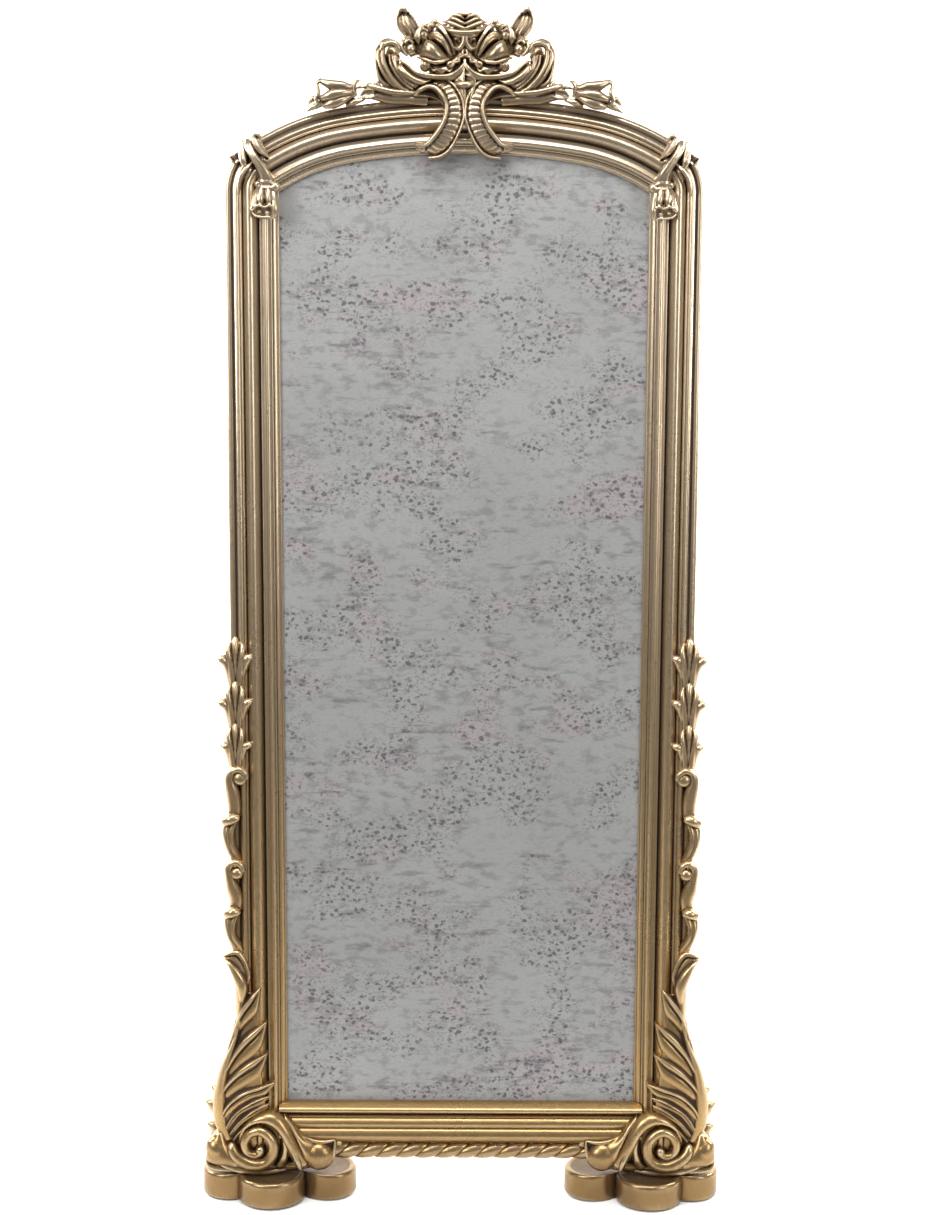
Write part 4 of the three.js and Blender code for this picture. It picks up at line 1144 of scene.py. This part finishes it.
def crest_leaf():
    """A fluted leaf that stands up outside the bloom, on a knot of buds."""
    left = [(-105, 139), (-113, 128), (-112, 114), (-102, 100), (-84, 86)]
    right = [(-97, 139), (-88, 129), (-80, 116), (-75, 103), (-77, 86)]
    solids = [
        between(left, right, [20, 24, 26, 26, 22], [4, 7, 8, 7, 4], 10, reeded(4, 0.4), ends=(0.1, 0.1))
    ]
    for line in ([(x, z, 28) for x, z in left], [(x, z, 28) for x, z in right]):
        solids.append(run(line, [1.5, 2.2, 2.2, 2.2, 1.5], [3, 5, 6, 5, 3]))
    solids.append(run([(-110, 136, 28), (-103, 140.5, 33), (-95, 135, 33)], [3, 4, 2.5], [4, 5, 4]))
    for centre, radii, tilt in (((-95, 89, 30), (9.5, 8.5, 10), 30), ((-90, 76, 32), (8.5, 9, 10), 0)):
        solids.append(ball(centre, radii, tilt))
    solids.append(run([(-104, 90, 28), (-105, 76, 32), (-95, 64, 32)], [3, 4.5, 2], [6, 7, 4]))
    solids.append(run([(-99, 84, 38), (-93, 89, 41), (-85, 84, 38)], [1.5, 2.2, 1.5], [2, 3, 2]))
    small_one = [(-73, 114), (-83, 104), (-85, 93), (-78, 83)]
    small_other = [(-71, 114), (-72, 104), (-72, 94), (-76, 83)]
    solids.append(between(small_one, small_other, [30, 32, 33, 30], [3, 6, 7, 3], 12, reeded(2, 0.4)))
    solids.append(run([(-96, 100, 12), (-90, 84, 12), (-84, 66, 12)], [8, 12, 8], [8, 10, 10]))
    solids.append(run([(-98, 108, 16), (-82, 88, 16), (-64, 72, 16)], [6, 11, 12], [8, 10, 10]))
    return solids


def crest_tulip():
    """A half open bloom, its front petal folded over a striped one, with a long petal and a bud behind."""
    front_top = [(-75, 65), (-71, 80), (-64, 89), (-54, 87), (-42, 78), (-27, 62)]
    front_low = [(-76, 65), (-66, 62), (-54, 57), (-44, 55), (-35, 56), (-27, 61)]
    solids = [
        between(front_top, front_low, [34, 37, 39, 39, 37, 32], [3, 10, 14, 14, 10, 3], 10, ROUND, lean=-1)
    ]
    fold = [(-80, 62, 33), (-66, 58, 40), (-52, 53, 43), (-38, 54, 42), (-26, 60, 36)]
    solids.append(run(fold, [1.5, 2.8, 2.8, 2.6, 1.5], [2, 4, 5, 4, 2]))
    stripe_one = [(-62, 94), (-56, 103), (-47, 105), (-36, 96), (-27, 82), (-21, 66)]
    stripe_other = [(-61, 90), (-52, 90), (-44, 85), (-35, 77), (-29, 69), (-23, 63)]
    solids.append(
        between(stripe_one, stripe_other, [28, 32, 35, 35, 32], [3, 8, 10, 9, 3], 10, reeded(3, 0.45))
    )
    long_one = [(-44, 121), (-34, 112), (-25, 95), (-18, 79), (-16, 66)]
    long_other = [(-54, 116), (-46, 110), (-36, 100), (-27, 86), (-20, 68)]
    solids.append(between(long_one, long_other, [26, 30, 33, 32, 28], [3, 6, 8, 7, 3], 10, reeded(2, 0.45)))
    solids.append(ball((-68, 99, 31), (8, 9.5, 9), 20))
    solids.append(run([(-75, 101, 36), (-69, 107, 39), (-61, 103, 37)], [1.5, 2.2, 1.5], [2, 4, 2]))
    for line in (
        [(-71, 105, 26), (-67, 113, 30), (-60, 109, 30)],
        [(-61, 104, 26), (-58, 114, 30), (-50, 112, 30)],
        [(-56, 108, 24), (-51, 120, 28), (-43, 117, 28)],
    ):
        solids.append(run(line, [4, 5, 1.5], [6, 7, 2]))
    solids.append(ball((-66, 48, 29), (9.5, 9.5, 10)))
    for x in (-71, -66, -61):
        solids.append(run([(x, 58, 34), (x + 0.5, 51, 39), (x + 1, 44, 38)], [1.6, 2.6, 1.2], [2, 3, 2]))
    under_one = [(-57, 52), (-52, 42), (-42, 37), (-30, 39), (-18, 50)]
    under_other = [(-55, 55), (-48, 52), (-40, 50), (-30, 51), (-18, 57)]
    solids.append(between(under_one, under_other, [24, 28, 30, 29, 24], [3, 7, 8, 7, 3], 8, ROUND, lean=2))
    scallop = [
        (-57, 49, 28), (-51, 41, 33), (-45, 43, 34), (-39, 37, 34), (-32, 42, 34), (-25, 40, 33),
        (-19, 49, 30),
    ]
    solids.append(run(scallop, [1.5, 2.4, 2.4, 2.4, 2.4, 1.5], [2, 4, 4, 4, 4, 2], rows=70))
    solids.append(ball((-48, 76, 12), (30, 31, 12)))
    solids.append(ball((-32, 92, 10), (24, 28, 12)))
    solids.append(ball((-40, 52, 8), (26, 18, 12)))
    return solids


def crest_foliage():
    """Between the blooms: an ear-shaped curl, a ruffled leaf and the bed that holds them together."""
    ear = [(-17, 99, 32), (-9, 102, 37), (-2, 94, 38), (-3, 84, 38), (-10, 76, 36), (-18, 78, 33)]
    half = [run(ear, [2.5, 4.5, 5, 5, 4.5, 2], [4, 7, 8, 8, 7, 3], rows=60)]
    half.append(run([(-17, 92, 30), (-11, 92, 33), (-9, 86, 33)], [3, 3.5, 2], [5, 6, 4]))
    for x, z, aim in ((-3, 73, 250), (-7, 66, 235), (-12, 60, 220), (-18, 55, 210), (-25, 52, 200)):
        a = math.radians(aim)
        line = [
            (x - 14 * math.cos(a), z - 14 * math.sin(a), 26),
            (x, z, 33),
            (x + 6 * math.cos(a), z + 6 * math.sin(a), 34),
        ]
        half.append(run(line, [3, 5, 3], [4, 7, 4]))
    ruffle = [
        (0, 76, 34), (-4, 69, 37), (-2, 64, 37), (-9, 61, 37), (-10, 55, 37), (-17, 53, 36), (-21, 47, 35),
        (-28, 48, 31),
    ]
    half.append(run(ruffle, [1.8, 2.6, 2.6, 2.6, 2.6, 2.6, 1.5], [3, 6, 6, 6, 6, 6, 3], rows=90))
    half.append(ball((-14, 66, 16), (20, 24, 12)))
    half.append(ball((-12, 88, 16), (14, 18, 12)))
    half.append(ball((-8, 46, 12), (20, 22, 12)))
    half.append(ball((-30, 32, 6), (34, 16, 12), -6))
    return both(half)


def crest_rose():
    """An opening rose seen from the front and a little below: bowed petals one above another."""
    solids = [ball((0, 110, 14), (32, 20, 16))]
    petals = [
        ([(-34, 112), (-22, 104), (0, 101), (22, 104), (34, 112)], [30, 38, 42, 38, 30], 4.0),
        ([(-28, 104), (-16, 97), (0, 95), (16, 97), (28, 104)], [30, 36, 39, 36, 30], 3.6),
        ([(-37, 121), (-26, 118), (-12, 112), (0, 107), (4, 108)], [26, 34, 38, 38, 36], 3.6),
        ([(37, 121), (26, 118), (12, 112), (0, 107), (-4, 108)], [26, 34, 38, 38, 36], 3.6),
        ([(-31, 125), (-18, 124), (-6, 118), (3, 115)], [24, 32, 35, 34], 3.2),
        ([(31, 125), (18, 124), (6, 118), (-3, 115)], [24, 32, 35, 34], 3.2),
        ([(-25, 130), (-12, 130), (-1, 124)], [22, 30, 32], 3.0),
        ([(25, 130), (12, 130), (1, 124)], [22, 30, 32], 3.0),
        ([(-14, 134), (0, 132), (14, 134)], [20, 29, 20], 3.0),
    ]
    for line, lifts, width in petals:
        placed = [(x, z, t) for (x, z), t in zip(line, lifts)]
        solids.append(run(placed, [1.2] + [width] * (len(line) - 2) + [1.2], [3, 7, 7, 7, 3]))
    solids.append(ball((0, 104, 24), (22, 10, 12)))
    return solids


def garland():
    """A stem that lies along the arch to a hanging bellflower, with small leaves."""
    solids = [
        run(
            [(-80, 4, 18), (-113, 3, 20), (-143, 10, 20), (-162, 16, 20), (-180, 14, 18)],
            [4, 4.5, 4, 3.5, 2],
            [7, 8, 8, 7, 4],
        )
    ]
    solids.append(
        run(
            [(-62, -6, 14), (-100, -5, 18), (-125, -4, 18), (-150, 1, 17), (-172, 3, 14)],
            [9, 8, 8, 7, 3],
            [8] * 4 + [5],
        )
    )
    solids.append(run([(-140, 12, 20), (-147, 20, 24), (-152, 30, 24)], [3, 5, 1.5], [4, 6, 2]))
    hollow_one = [(-148, 6), (-156, 12), (-168, 11), (-176, 2)]
    hollow_other = [(-146, 3), (-152, -3), (-162, -5), (-174, -2)]
    solids.append(between(hollow_one, hollow_other, [20, 24, 24, 20], [4, 5, 5, 4], 8, HOLLOW))
    solids.append(ball((-188, 8, 24), (8, 12, 9)))
    solids.append(
        run([(-176, 26, 22), (-184, 20, 27), (-187, 10, 28), (-180, 0, 25)], [2, 4, 4, 2], [3, 6, 6, 3])
    )
    for line in (
        [(-186, 12, 26), (-203, 16, 31), (-222, 17, 33), (-242, 24, 31)],
        [(-188, 6, 28), (-206, 4, 34), (-224, 0, 36), (-241, -6, 33)],
        [(-190, 0, 24), (-206, -8, 30), (-222, -13, 31), (-238, -18, 28)],
    ):
        solids.append(run(line, [4, 7.5, 8.5, 4], [6, 9, 9, 5], ends=(0.05, 0.05)))
    mouth = [(-240, 28, 26), (-247, 18, 32), (-244, 6, 34), (-248, -6, 32), (-242, -16, 28)]
    solids.append(run(mouth, [2, 3.5, 3.5, 3.5, 2], [3, 6, 6, 6, 3]))
    solids.append(run([(-236, -12, 22), (-250, -17, 25), (-266, -25, 18)], [4, 5, 1.5], [6, 7, 2]))
    solids.append(run([(-246, 0, 20), (-256, -6, 22), (-262, -14, 18)], [3, 5, 1.5], [5, 6, 2]))
    solids.append(run([(-186, 4, 14), (-215, 0, 16), (-244, -6, 14)], [7, 11, 8], [8, 10, 8]))
    solids.append(run([(-168, -4, 18), (-186, -10, 22), (-200, -16, 18)], [3, 5, 1.5], [5, 7, 2]))
    return solids


# ---- Feet and rope ----------------------------------------------------------------------------------------


# Side of a foot, from the bottom edge up: how far in from the outline, and how high from the bottom edge or
# from the top.
FOOT_LOWER = [(24, 0), (4, 0), (1.6, 0.8), (0.3, 3), (0, 6)]
FOOT_UPPER = [
    (0, -8), (0.3, -5.5), (1.3, -3), (3.2, -1), (5.6, 0), (8, -0.3), (10, -1.3), (12.5, -2.2), (16, -2.5),
    (24, -2.5),
]
FOOT_COLUMNS = 1100
OUTLINE_STEPS = 60001

ROPE_STRANDS = 2
ROPE_ROWS = 440
ROPE_COLUMNS = 84
ROPE_GROOVE = 4.6
ROPE_TUCK = 20


def foot_outline(angle, node):
    """Distance from the middle of the foot to its edge: in each direction, the furthest of the four
    circles."""
    low, high = (np.array(v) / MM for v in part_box(node))
    middle = (low + high) / 2
    shape = bpy.context.scene.mirror_shape
    side = shape.side_lobe / MM
    front = shape.front_lobe / MM
    out = (high[0] - low[0]) / 2 - side
    ahead = -low[1] - front
    aside = math.copysign(shape.lobe_aside / MM, middle[0])
    circles = [(-out, 0, side), (out, 0, side), (aside, -ahead, front), (aside, ahead, front)]
    reach = np.zeros_like(angle)
    for x, y, r in circles:
        along = x * np.cos(angle) + y * np.sin(angle)
        inside = r**2 - x**2 - y**2 + along**2
        reach = np.maximum(reach, np.where(inside > 0, along + np.sqrt(np.maximum(inside, 0)), 0))
    return middle, reach


def foot(node):
    """A block on a plan of four lobes: rings of its outline, drawn in as the side profile says. The top
    edge is rounded and stands a little above the top. Its hollows are made fainter, and the top is evenly
    glazed dark as painted shade."""
    fan = np.linspace(0, 2 * np.pi, OUTLINE_STEPS)
    middle, reach = foot_outline(fan, node)
    steps = np.hypot(np.diff(reach * np.cos(fan)), np.diff(reach * np.sin(fan)))
    way = np.concatenate([[0], np.cumsum(steps)])
    angle = np.interp(np.linspace(0, way[-1], FOOT_COLUMNS, endpoint=False), way, fan)
    reach = foot_outline(angle, node)[1]
    low = edge(node, 0, 2)
    top = edge(node, 1, 2)
    profile = [(s, low + z) for s, z in FOOT_LOWER] + [(0, (low + top) / 2)] + [
        (s, top + z) for s, z in FOOT_UPPER
    ]
    inset, z = np.array(profile).T
    r = np.maximum(reach[None] - inset[:, None], 4)
    rings = [
        r * np.cos(angle) + middle[0], r * np.sin(angle) + middle[1], np.broadcast_to(z[:, None], r.shape)
    ]
    points = np.stack(rings, -1).reshape(-1, 3) * MM
    ends = grid_ends(len(profile), FOOT_COLUMNS)
    piece = new_mesh(node + "_gilded", points, grid_faces(len(profile), FOOT_COLUMNS), ends)
    face_out(piece.data)
    mark_hollows(piece.data, 1.6)
    marks = piece.data.attributes["hollow"].data
    depth = np.empty(len(marks), np.float32)
    marks.foreach_get("value", depth)
    depth = np.clip(depth * 0.6, -0.3, 0.35)
    # Painted shade: the top of the foot is given an even glaze, darkening it as if it were in shadow.
    depth[-3 * FOOT_COLUMNS :] = 0.17
    marks.foreach_set("value", depth)
    finish_piece(piece, gilding(), [node])
    crease_flat_ends(piece.data)


def rope():
    """Strands laid round each other: the section is one lobe to a strand, and it turns evenly along the
    rope. Its ends are tucked under the toe leaves."""
    shape = bpy.context.scene.mirror_shape
    low, high = (np.array(v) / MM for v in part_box("rope_moulding"))
    radius = (high[2] - low[2]) / 2
    centre = (low + high) / 2
    half = high[0] + ROPE_TUCK
    x = np.linspace(-half, half, ROPE_ROWS)[:, None]
    around = np.linspace(0, 2 * np.pi, ROPE_COLUMNS, endpoint=False)[None]
    phase = ROPE_STRANDS * around / 2 - np.pi * x / (shape.rope_pitch / MM)
    r = radius - ROPE_GROOVE * (1 - np.abs(np.sin(phase)) ** 0.55)
    fade = np.clip((half - np.abs(x)) / 5, 0, 1) ** 0.5
    r = r * (0.6 + 0.4 * fade)
    rings = np.broadcast_arrays(x, centre[1] - r * np.cos(around), centre[2] + r * np.sin(around))
    points = np.stack(rings, -1).reshape(-1, 3) * MM
    faces = grid_faces(ROPE_ROWS, ROPE_COLUMNS)
    piece = new_mesh("laid_rope", points, faces, grid_ends(ROPE_ROWS, ROPE_COLUMNS))
    face_out(piece.data)
    mark_hollows(piece.data, 2.5)
    finish_piece(piece, gilding(), ["rope_moulding"])


# ---- Settings ---------------------------------------------------------------------------------------------


def colour_setting(name, description, red, green, blue):
    return bpy.props.FloatVectorProperty(
        name=name, description=description, default=rgb(
            red, green, blue
        ), size=4, min=0, max=1, subtype="COLOR"
    )


def length_setting(name, description, millimetres):
    return bpy.props.FloatProperty(
        name=name, description=description, default=millimetres * MM, unit="LENGTH"
    )


class MirrorShape(bpy.types.PropertyGroup):
    """Sizes that the frame doesn't give."""

    carving_grain: length_setting(
        "Carving grain", "Size of the grid that joins the parts of a carving", 1.36
    )
    crest_grain: length_setting("Crest grain", "Size of that grid on the finer carvings", 1.12)
    rope_pitch: length_setting("Rope pitch", "From one strand to the next along the rope", 36)
    side_lobe: length_setting("Side lobe", "Radius of the lobes at the two ends of a foot", 49)
    front_lobe: length_setting("Front lobe", "Radius of the front and rear lobes of a foot", 61)
    lobe_aside: length_setting("Front lobe aside", "How far the front lobe sits towards the outside", 12)


class MirrorFinish(bpy.types.PropertyGroup):
    """Colours and strengths of the finishes."""

    # The two golds differ as painted light: the top one is paler as if lit, the base one darker as if
    # shaded.
    low_gold_painted_shade: colour_setting("Gold at the base", "Leaf near the floor", 168, 137, 90)
    high_gold_painted_light: colour_setting("Gold at the top", "Leaf near the crest", 194, 175, 150)
    # The wash is both a random brown cloud and painted shade near the crown and the floor.
    wash_and_painted_shade: colour_setting("Wash", "Thin brown cloud over the leaf, and painted shade near the crown and the floor", 124, 99, 66)
    # The rubbed colour is partly wear and partly a painted highlight on the ridges.
    rubbed_and_painted_highlight: colour_setting("Rubbed and highlit ridges", "Leaf where the ridges are polished and painted with a highlight", 240, 224, 190)
    glaze: colour_setting("Glaze", "Brown left in the hollows", 48, 31, 17)
    glaze_depth: bpy.props.FloatProperty(
        name="Glaze depth", description="How dark the hollows are", default=1.0
    )
    rub_and_highlight_share: bpy.props.FloatProperty(
        name="Rubbing and highlight", description="How far the ridges are rubbed and painted with a highlight", default=0.35
    )
    silver: colour_setting("Silvering", "Glass over most of the mirror", 154, 154, 152)
    silver_light: colour_setting("Bright silvering", "Clearer clouds in the glass", 160, 160, 158)
    silver_dark: colour_setting("Dull silvering", "Duller streaks in the glass", 118, 118, 118)
    blush: colour_setting("Blush", "Faint pinkish patches", 166, 154, 156)
    fox: colour_setting("Foxing", "Dark spots where the silver has gone", 76, 74, 76)
    foxing: bpy.props.FloatProperty(
        name="Foxing strength", description="How strong the spots are", default=0.9
    )


class MirrorStudio(bpy.types.PropertyGroup):
    """Camera and light."""

    eye: bpy.props.FloatVectorProperty(
        name="Camera", description="Place of the camera", default=(
            0.0, -3.416, 1.6006
        ), subtype="TRANSLATION"
    )
    pitch: bpy.props.FloatProperty(
        name="Pitch", description="How far the camera looks down", default=math.radians(
            8.6
        ), subtype="ANGLE"
    )
    roll: bpy.props.FloatProperty(
        name="Roll", description="How far the camera leans", default=math.radians(0.235), subtype="ANGLE"
    )
    lens: bpy.props.FloatProperty(name="Lens", description="Focal length", default=58.28, unit="CAMERA")
    shift: bpy.props.FloatProperty(name="Shift", description="Sideways shift of the lens", default=0.0061)
    key_power: bpy.props.FloatProperty(
        name="Key", description="Power of the large light", default=100, unit="POWER"
    )
    fill_power: bpy.props.FloatProperty(
        name="Fill", description="Power of the fill light", default=50, unit="POWER"
    )
    top_power: bpy.props.FloatProperty(
        name="Top", description="Power of the light overhead", default=95, unit="POWER"
    )
    surround: bpy.props.FloatProperty(name="Surround", description="Brightness of the room", default=0.34)


# ---- Operators --------------------------------------------------------------------------------------------


class SetStudio(bpy.types.Operator):
    """Makes the camera, the floor, the backdrop and the lights"""

    bl_idname = "mirror.set_studio"
    bl_label = "Studio"

    def execute(self, context):
        studio = context.scene.mirror_studio
        camera = bpy.data.objects.new("camera", bpy.data.cameras.new("camera"))
        context.scene.collection.objects.link(camera)
        camera.data.lens = studio.lens
        camera.data.sensor_width = 36
        camera.data.shift_x = studio.shift
        camera.data.clip_end = 100
        tilt = math.pi / 2 - studio.pitch
        camera.rotation_mode = "QUATERNION"
        level = np.array([math.cos(tilt / 2), math.sin(tilt / 2), 0, 0])
        c, s = math.cos(studio.roll / 2), math.sin(studio.roll / 2)
        camera.rotation_quaternion = (level[0] * c, level[1] * c, -level[1] * s, level[0] * s)
        camera.location = studio.eye
        context.scene.camera = camera
        context.scene.view_settings.view_transform = "Standard"
        self.cove()
        self.lights(context, studio)
        return {"FINISHED"}

    def cove(self):
        """A floor that turns up into a wall along a quarter circle, carried straight across. From behind
        it can be seen through, so that the back of the mirror can be looked at too."""
        turn = np.linspace(0, np.pi / 2, 24)
        y = np.concatenate([[-9.0, 1.2], 1.2 + 1.6 * np.sin(turn[1:]), [2.8]])
        z = np.concatenate([[0.0, 0.0], 1.6 * (1 - np.cos(turn[1:])), [6.0]])
        x = np.linspace(-7, 7, 3)
        xs, ys = np.meshgrid(x, y, indexing="ij")
        zs = np.broadcast_to(z, xs.shape)
        rows = np.arange(2)[:, None] * len(y)
        k = rows + np.arange(len(y) - 1)[None]
        faces = np.stack([k, k + len(y), k + len(y) + 1, k + 1], -1).reshape(-1, 4)
        cove = new_mesh("studio_cove", np.stack([xs, ys, zs], -1).reshape(-1, 3), faces)
        cove.data.shade_smooth()
        paper = Finish("white_paper")
        ahead = paper.node("ShaderNodeSeparateXYZ", {}, {0: paper.place()}, "Y")
        white = paper.mix(ahead.ramp(-0.75, -0.16), (0.16, 0.155, 0.15, 1), (0.93, 0.93, 0.925, 1))
        cove.data.materials.append(paper.done(Base_Color=white, Roughness=0.95))
        behind = paper.node("ShaderNodeNewGeometry", {}, {}, "Backfacing")
        clear = paper.node("ShaderNodeBsdfTransparent", {}, {})
        sheet = Value(paper, paper.shader.outputs["BSDF"])
        seen = paper.node("ShaderNodeMixShader", {}, {0: behind, 1: sheet, 2: clear})
        paper.feed(paper.tree.nodes["Material Output"].inputs["Surface"], seen)

    def lights(self, context, studio):
        """Large soft lights in front, and a pair behind that make the backdrop white."""
        for name, power, place, aim, width, height in (
            ("key", studio.key_power, (-2.6, -2.6, 2.9), (0, 0, 1.1), 1.5, 2.2),
            ("fill", studio.fill_power, (2.8, -2.4, 2.0), (0, 0, 1.0), 1.2, 2.4),
            ("overhead", studio.top_power, (0, -1.5, 4.0), (0, 0, 0.9), 2.6, 1.0),
            ("backdrop_left", 170, (-2.6, 0.9, 2.6), (0.6, 2.8, 1.3), 0.8, 2.6),
            ("backdrop_right", 170, (2.6, 0.9, 2.6), (-0.6, 2.8, 1.3), 0.8, 2.6),
        ):
            data = bpy.data.lights.new(name, "AREA")
            data.shape = "RECTANGLE"
            data.size = width
            data.size_y = height
            data.energy = power
            lamp = bpy.data.objects.new(name, data)
            lamp.location = place
            away = np.array(place) - np.array(aim)
            flat = math.hypot(away[0], away[1])
            lamp.rotation_euler = (math.atan2(flat, away[2]), 0, math.atan2(away[1], away[0]) + math.pi / 2)
            context.scene.collection.objects.link(lamp)
        world = bpy.data.worlds.new("studio_room")
        world.use_nodes = True
        sky = world.node_tree.nodes["Background"]
        sky.inputs["Color"].default_value = (0.86, 0.88, 0.92, 1)
        sky.inputs["Strength"].default_value = studio.surround
        context.scene.world = world


class MakeMouldings(bpy.types.Operator):
    """Makes the stiles, shoulders, arch, sight slips, rail and sill"""

    bl_idname = "mirror.make_mouldings"
    bl_label = "Mouldings"

    def execute(self, context):
        stile = stile_profile()
        slip = slip_profile()
        whole = np.vstack([[(0, GAP)], face_of(SLIP_MEMBERS), stile[:-1], [(0, -FRAME_BACK)]])
        for mirrored, side in ((False, "left"), (True, "right")):
            swept(f"gilded_stile_{side}", stile, np.linspace(0, 1, 120), [f"stile_{side}"], mirrored)
            turned = f"shoulder_block_{side}"
            swept(f"gilded_shoulder_{side}", whole, np.linspace(1, 1.9999, 40), [turned], mirrored)
            start = (edge("sight_slip_left", 0, 2) - FOOT_TOP) / (SPRING_Z - FOOT_TOP)
            swept(f"gilded_slip_{side}", slip, np.linspace(start, 1, 90), [f"sight_slip_{side}"], mirrored)
        swept("gilded_arch", stile, np.linspace(2, 4, 150), ["arch_head"], whole=True)
        swept("gilded_slip_arch", slip, np.linspace(2, 4, 150), ["sight_slip_arch"], whole=True)
        length = SIGHT_X + SLIP_W
        crossways("gilded_rail", RAIL_MEMBERS, RAIL_TOP, length, -FRAME_BACK, ["bottom_rail"])
        crossways("gilded_sill", SILL_MEMBERS, edge("sill_bead", 1, 2), length, GAP, ["sill_bead"])
        return {"FINISHED"}


class MakeFeet(bpy.types.Operator):
    """Makes the lobed feet and the rope between them"""

    bl_idname = "mirror.make_feet"
    bl_label = "Feet and rope"

    def execute(self, context):
        foot("foot_left")
        foot("foot_right")
        rope()
        return {"FINISHED"}


class CarveBase(bpy.types.Operator):
    """Carves the acanthus, volutes and leaves on the feet"""

    bl_idname = "mirror.carve_base"
    bl_label = "Base carvings"

    def execute(self, context):
        grain = context.scene.mirror_shape.carving_grain / MM
        carved_pair("carved_acanthus", BASE, acanthus(), ["acanthus"], grain)
        carved_pair("carved_volute", BASE, volute(), ["volute"], grain)
        carved_pair("carved_toe_leaf", BASE, toe_leaf(), ["toe_leaf"], grain)
        carved_pair("carved_heel_leaf", BASE, heel_leaf(), ["heel_leaf"], grain)
        carved_pair("carved_rear_leaf", BASE, rear_leaf(), ["rear_leaf"], 2 * grain)
        return {"FINISHED"}


class CarveDrops(bpy.types.Operator):
    """Carves the husks and scrolls up the edges of the stiles"""

    bl_idname = "mirror.carve_drops"
    bl_label = "Drops"

    def execute(self, context):
        grain = context.scene.mirror_shape.crest_grain / MM
        carved_pair("carved_husks", DROP, husk_drop(), ["husk_drop"], grain)
        carved_pair("carved_upper_scroll", DROP, side_scroll_upper(), ["side_scroll_upper"], grain)
        carved_pair("carved_lower_scroll", DROP, side_scroll_lower(), ["side_scroll_lower"], grain)
        return {"FINISHED"}


class CarveCorners(bpy.types.Operator):
    """Carves the clasps on the shoulders and the bellflowers under them"""

    bl_idname = "mirror.carve_corners"
    bl_label = "Corners"

    def execute(self, context):
        grain = context.scene.mirror_shape.crest_grain / MM
        carved_pair("carved_clasp", CORNER, corner_clasp(), ["corner_clasp"], grain)
        carved_pair("carved_bellflower", CORNER, bellflower(), ["bellflower"], grain)
        return {"FINISHED"}


class CarveCrest(bpy.types.Operator):
    """Carves the rose, blooms, scrolls, straps and garlands on the head"""

    bl_idname = "mirror.carve_crest"
    bl_label = "Crest"

    def execute(self, context):
        grain = context.scene.mirror_shape.crest_grain / MM
        carved_pair("carved_strap", CREST, crest_strap(), ["crest_strap"], grain)
        carved_pair("carved_scroll", CREST, crest_scroll(), ["crest_scroll"], grain)
        carved_pair("carved_leaf", CREST, crest_leaf(), ["crest_leaf"], grain)
        carved_pair("carved_bloom", CREST, crest_tulip(), ["crest_tulip"], grain)
        carved_pair("carved_garland", CREST, garland(), ["garland"], grain)
        carving("carved_keel", CREST, crest_keel(), ["crest_keel"], grain)
        carving("carved_foliage", CREST, crest_foliage(), ["crest_foliage"], grain)
        carving("carved_rose", CREST, crest_rose(), ["crest_rose"], grain)
        return {"FINISHED"}


class FinishBack(bpy.types.Operator):
    """Gives the glass, the boards, the struts and the glides their finishes"""

    bl_idname = "mirror.finish_back"
    bl_label = "Glass and back"

    def execute(self, context):
        upright = timber("bare_pine_upright", rgb(176, 142, 100), rgb(128, 92, 58), 2)
        across = timber("bare_pine_across", rgb(176, 142, 100), rgb(128, 92, 58), 0)
        board = timber("backing_board_brown", rgb(122, 96, 68), rgb(86, 64, 44), 2)
        looks = {
            "mirror_glass": antique_glass(),
            "backing_board": board,
            "glazing_fillet_left": upright,
            "glazing_fillet_right": upright,
            "glazing_fillet_bottom": across,
            "glazing_fillet_arch": across,
            "cross_batten_lower": across,
            "cross_batten_upper": across,
            "rear_strut_left": gilding(),
            "rear_strut_right": gilding(),
        }
        wool = felt()
        looks.update({n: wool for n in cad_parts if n.startswith("felt_glide")})
        for node, look in looks.items():
            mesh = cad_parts[node].data
            mesh.materials.clear()
            mesh.materials.append(look)
        return {"FINISHED"}


class MirrorPanel(bpy.types.Panel):
    """The steps in order, with their settings"""

    bl_idname = "VIEW3D_PT_carved_mirror"
    bl_label = "Carved Floor Mirror"
    bl_space_type = "VIEW_3D"
    bl_region_type = "UI"
    bl_category = "Mirror"

    def draw(self, context):
        column = self.layout.column(align=True)
        for step in STEPS:
            column.operator(step.bl_idname)
        for group in (context.scene.mirror_shape, context.scene.mirror_finish, context.scene.mirror_studio):
            for key in group.bl_rna.properties.keys():
                if key not in {"rna_type", "name"}:
                    self.layout.prop(group, key)


GROUPS = {"mirror_shape": MirrorShape, "mirror_finish": MirrorFinish, "mirror_studio": MirrorStudio}
STEPS = (SetStudio, MakeMouldings, MakeFeet, FinishBack, CarveBase, CarveDrops, CarveCorners, CarveCrest)


def register():
    for group in GROUPS.values():
        bpy.utils.register_class(group)
    for key, group in GROUPS.items():
        setattr(bpy.types.Scene, key, bpy.props.PointerProperty(type=group))
    for step in (*STEPS, MirrorPanel):
        bpy.utils.register_class(step)


def unregister():
    for step in (MirrorPanel, *reversed(STEPS)):
        bpy.utils.unregister_class(step)
    for key in GROUPS:
        delattr(bpy.types.Scene, key)
    for group in reversed(GROUPS.values()):
        bpy.utils.unregister_class(group)


def main():
    register()
    bpy.ops.mirror.set_studio()
    bpy.ops.mirror.make_mouldings()
    bpy.ops.mirror.make_feet()
    bpy.ops.mirror.finish_back()
    bpy.ops.mirror.carve_base()
    bpy.ops.mirror.carve_drops()
    bpy.ops.mirror.carve_corners()
    bpy.ops.mirror.carve_crest()


if __name__ == "__main__":
    main()
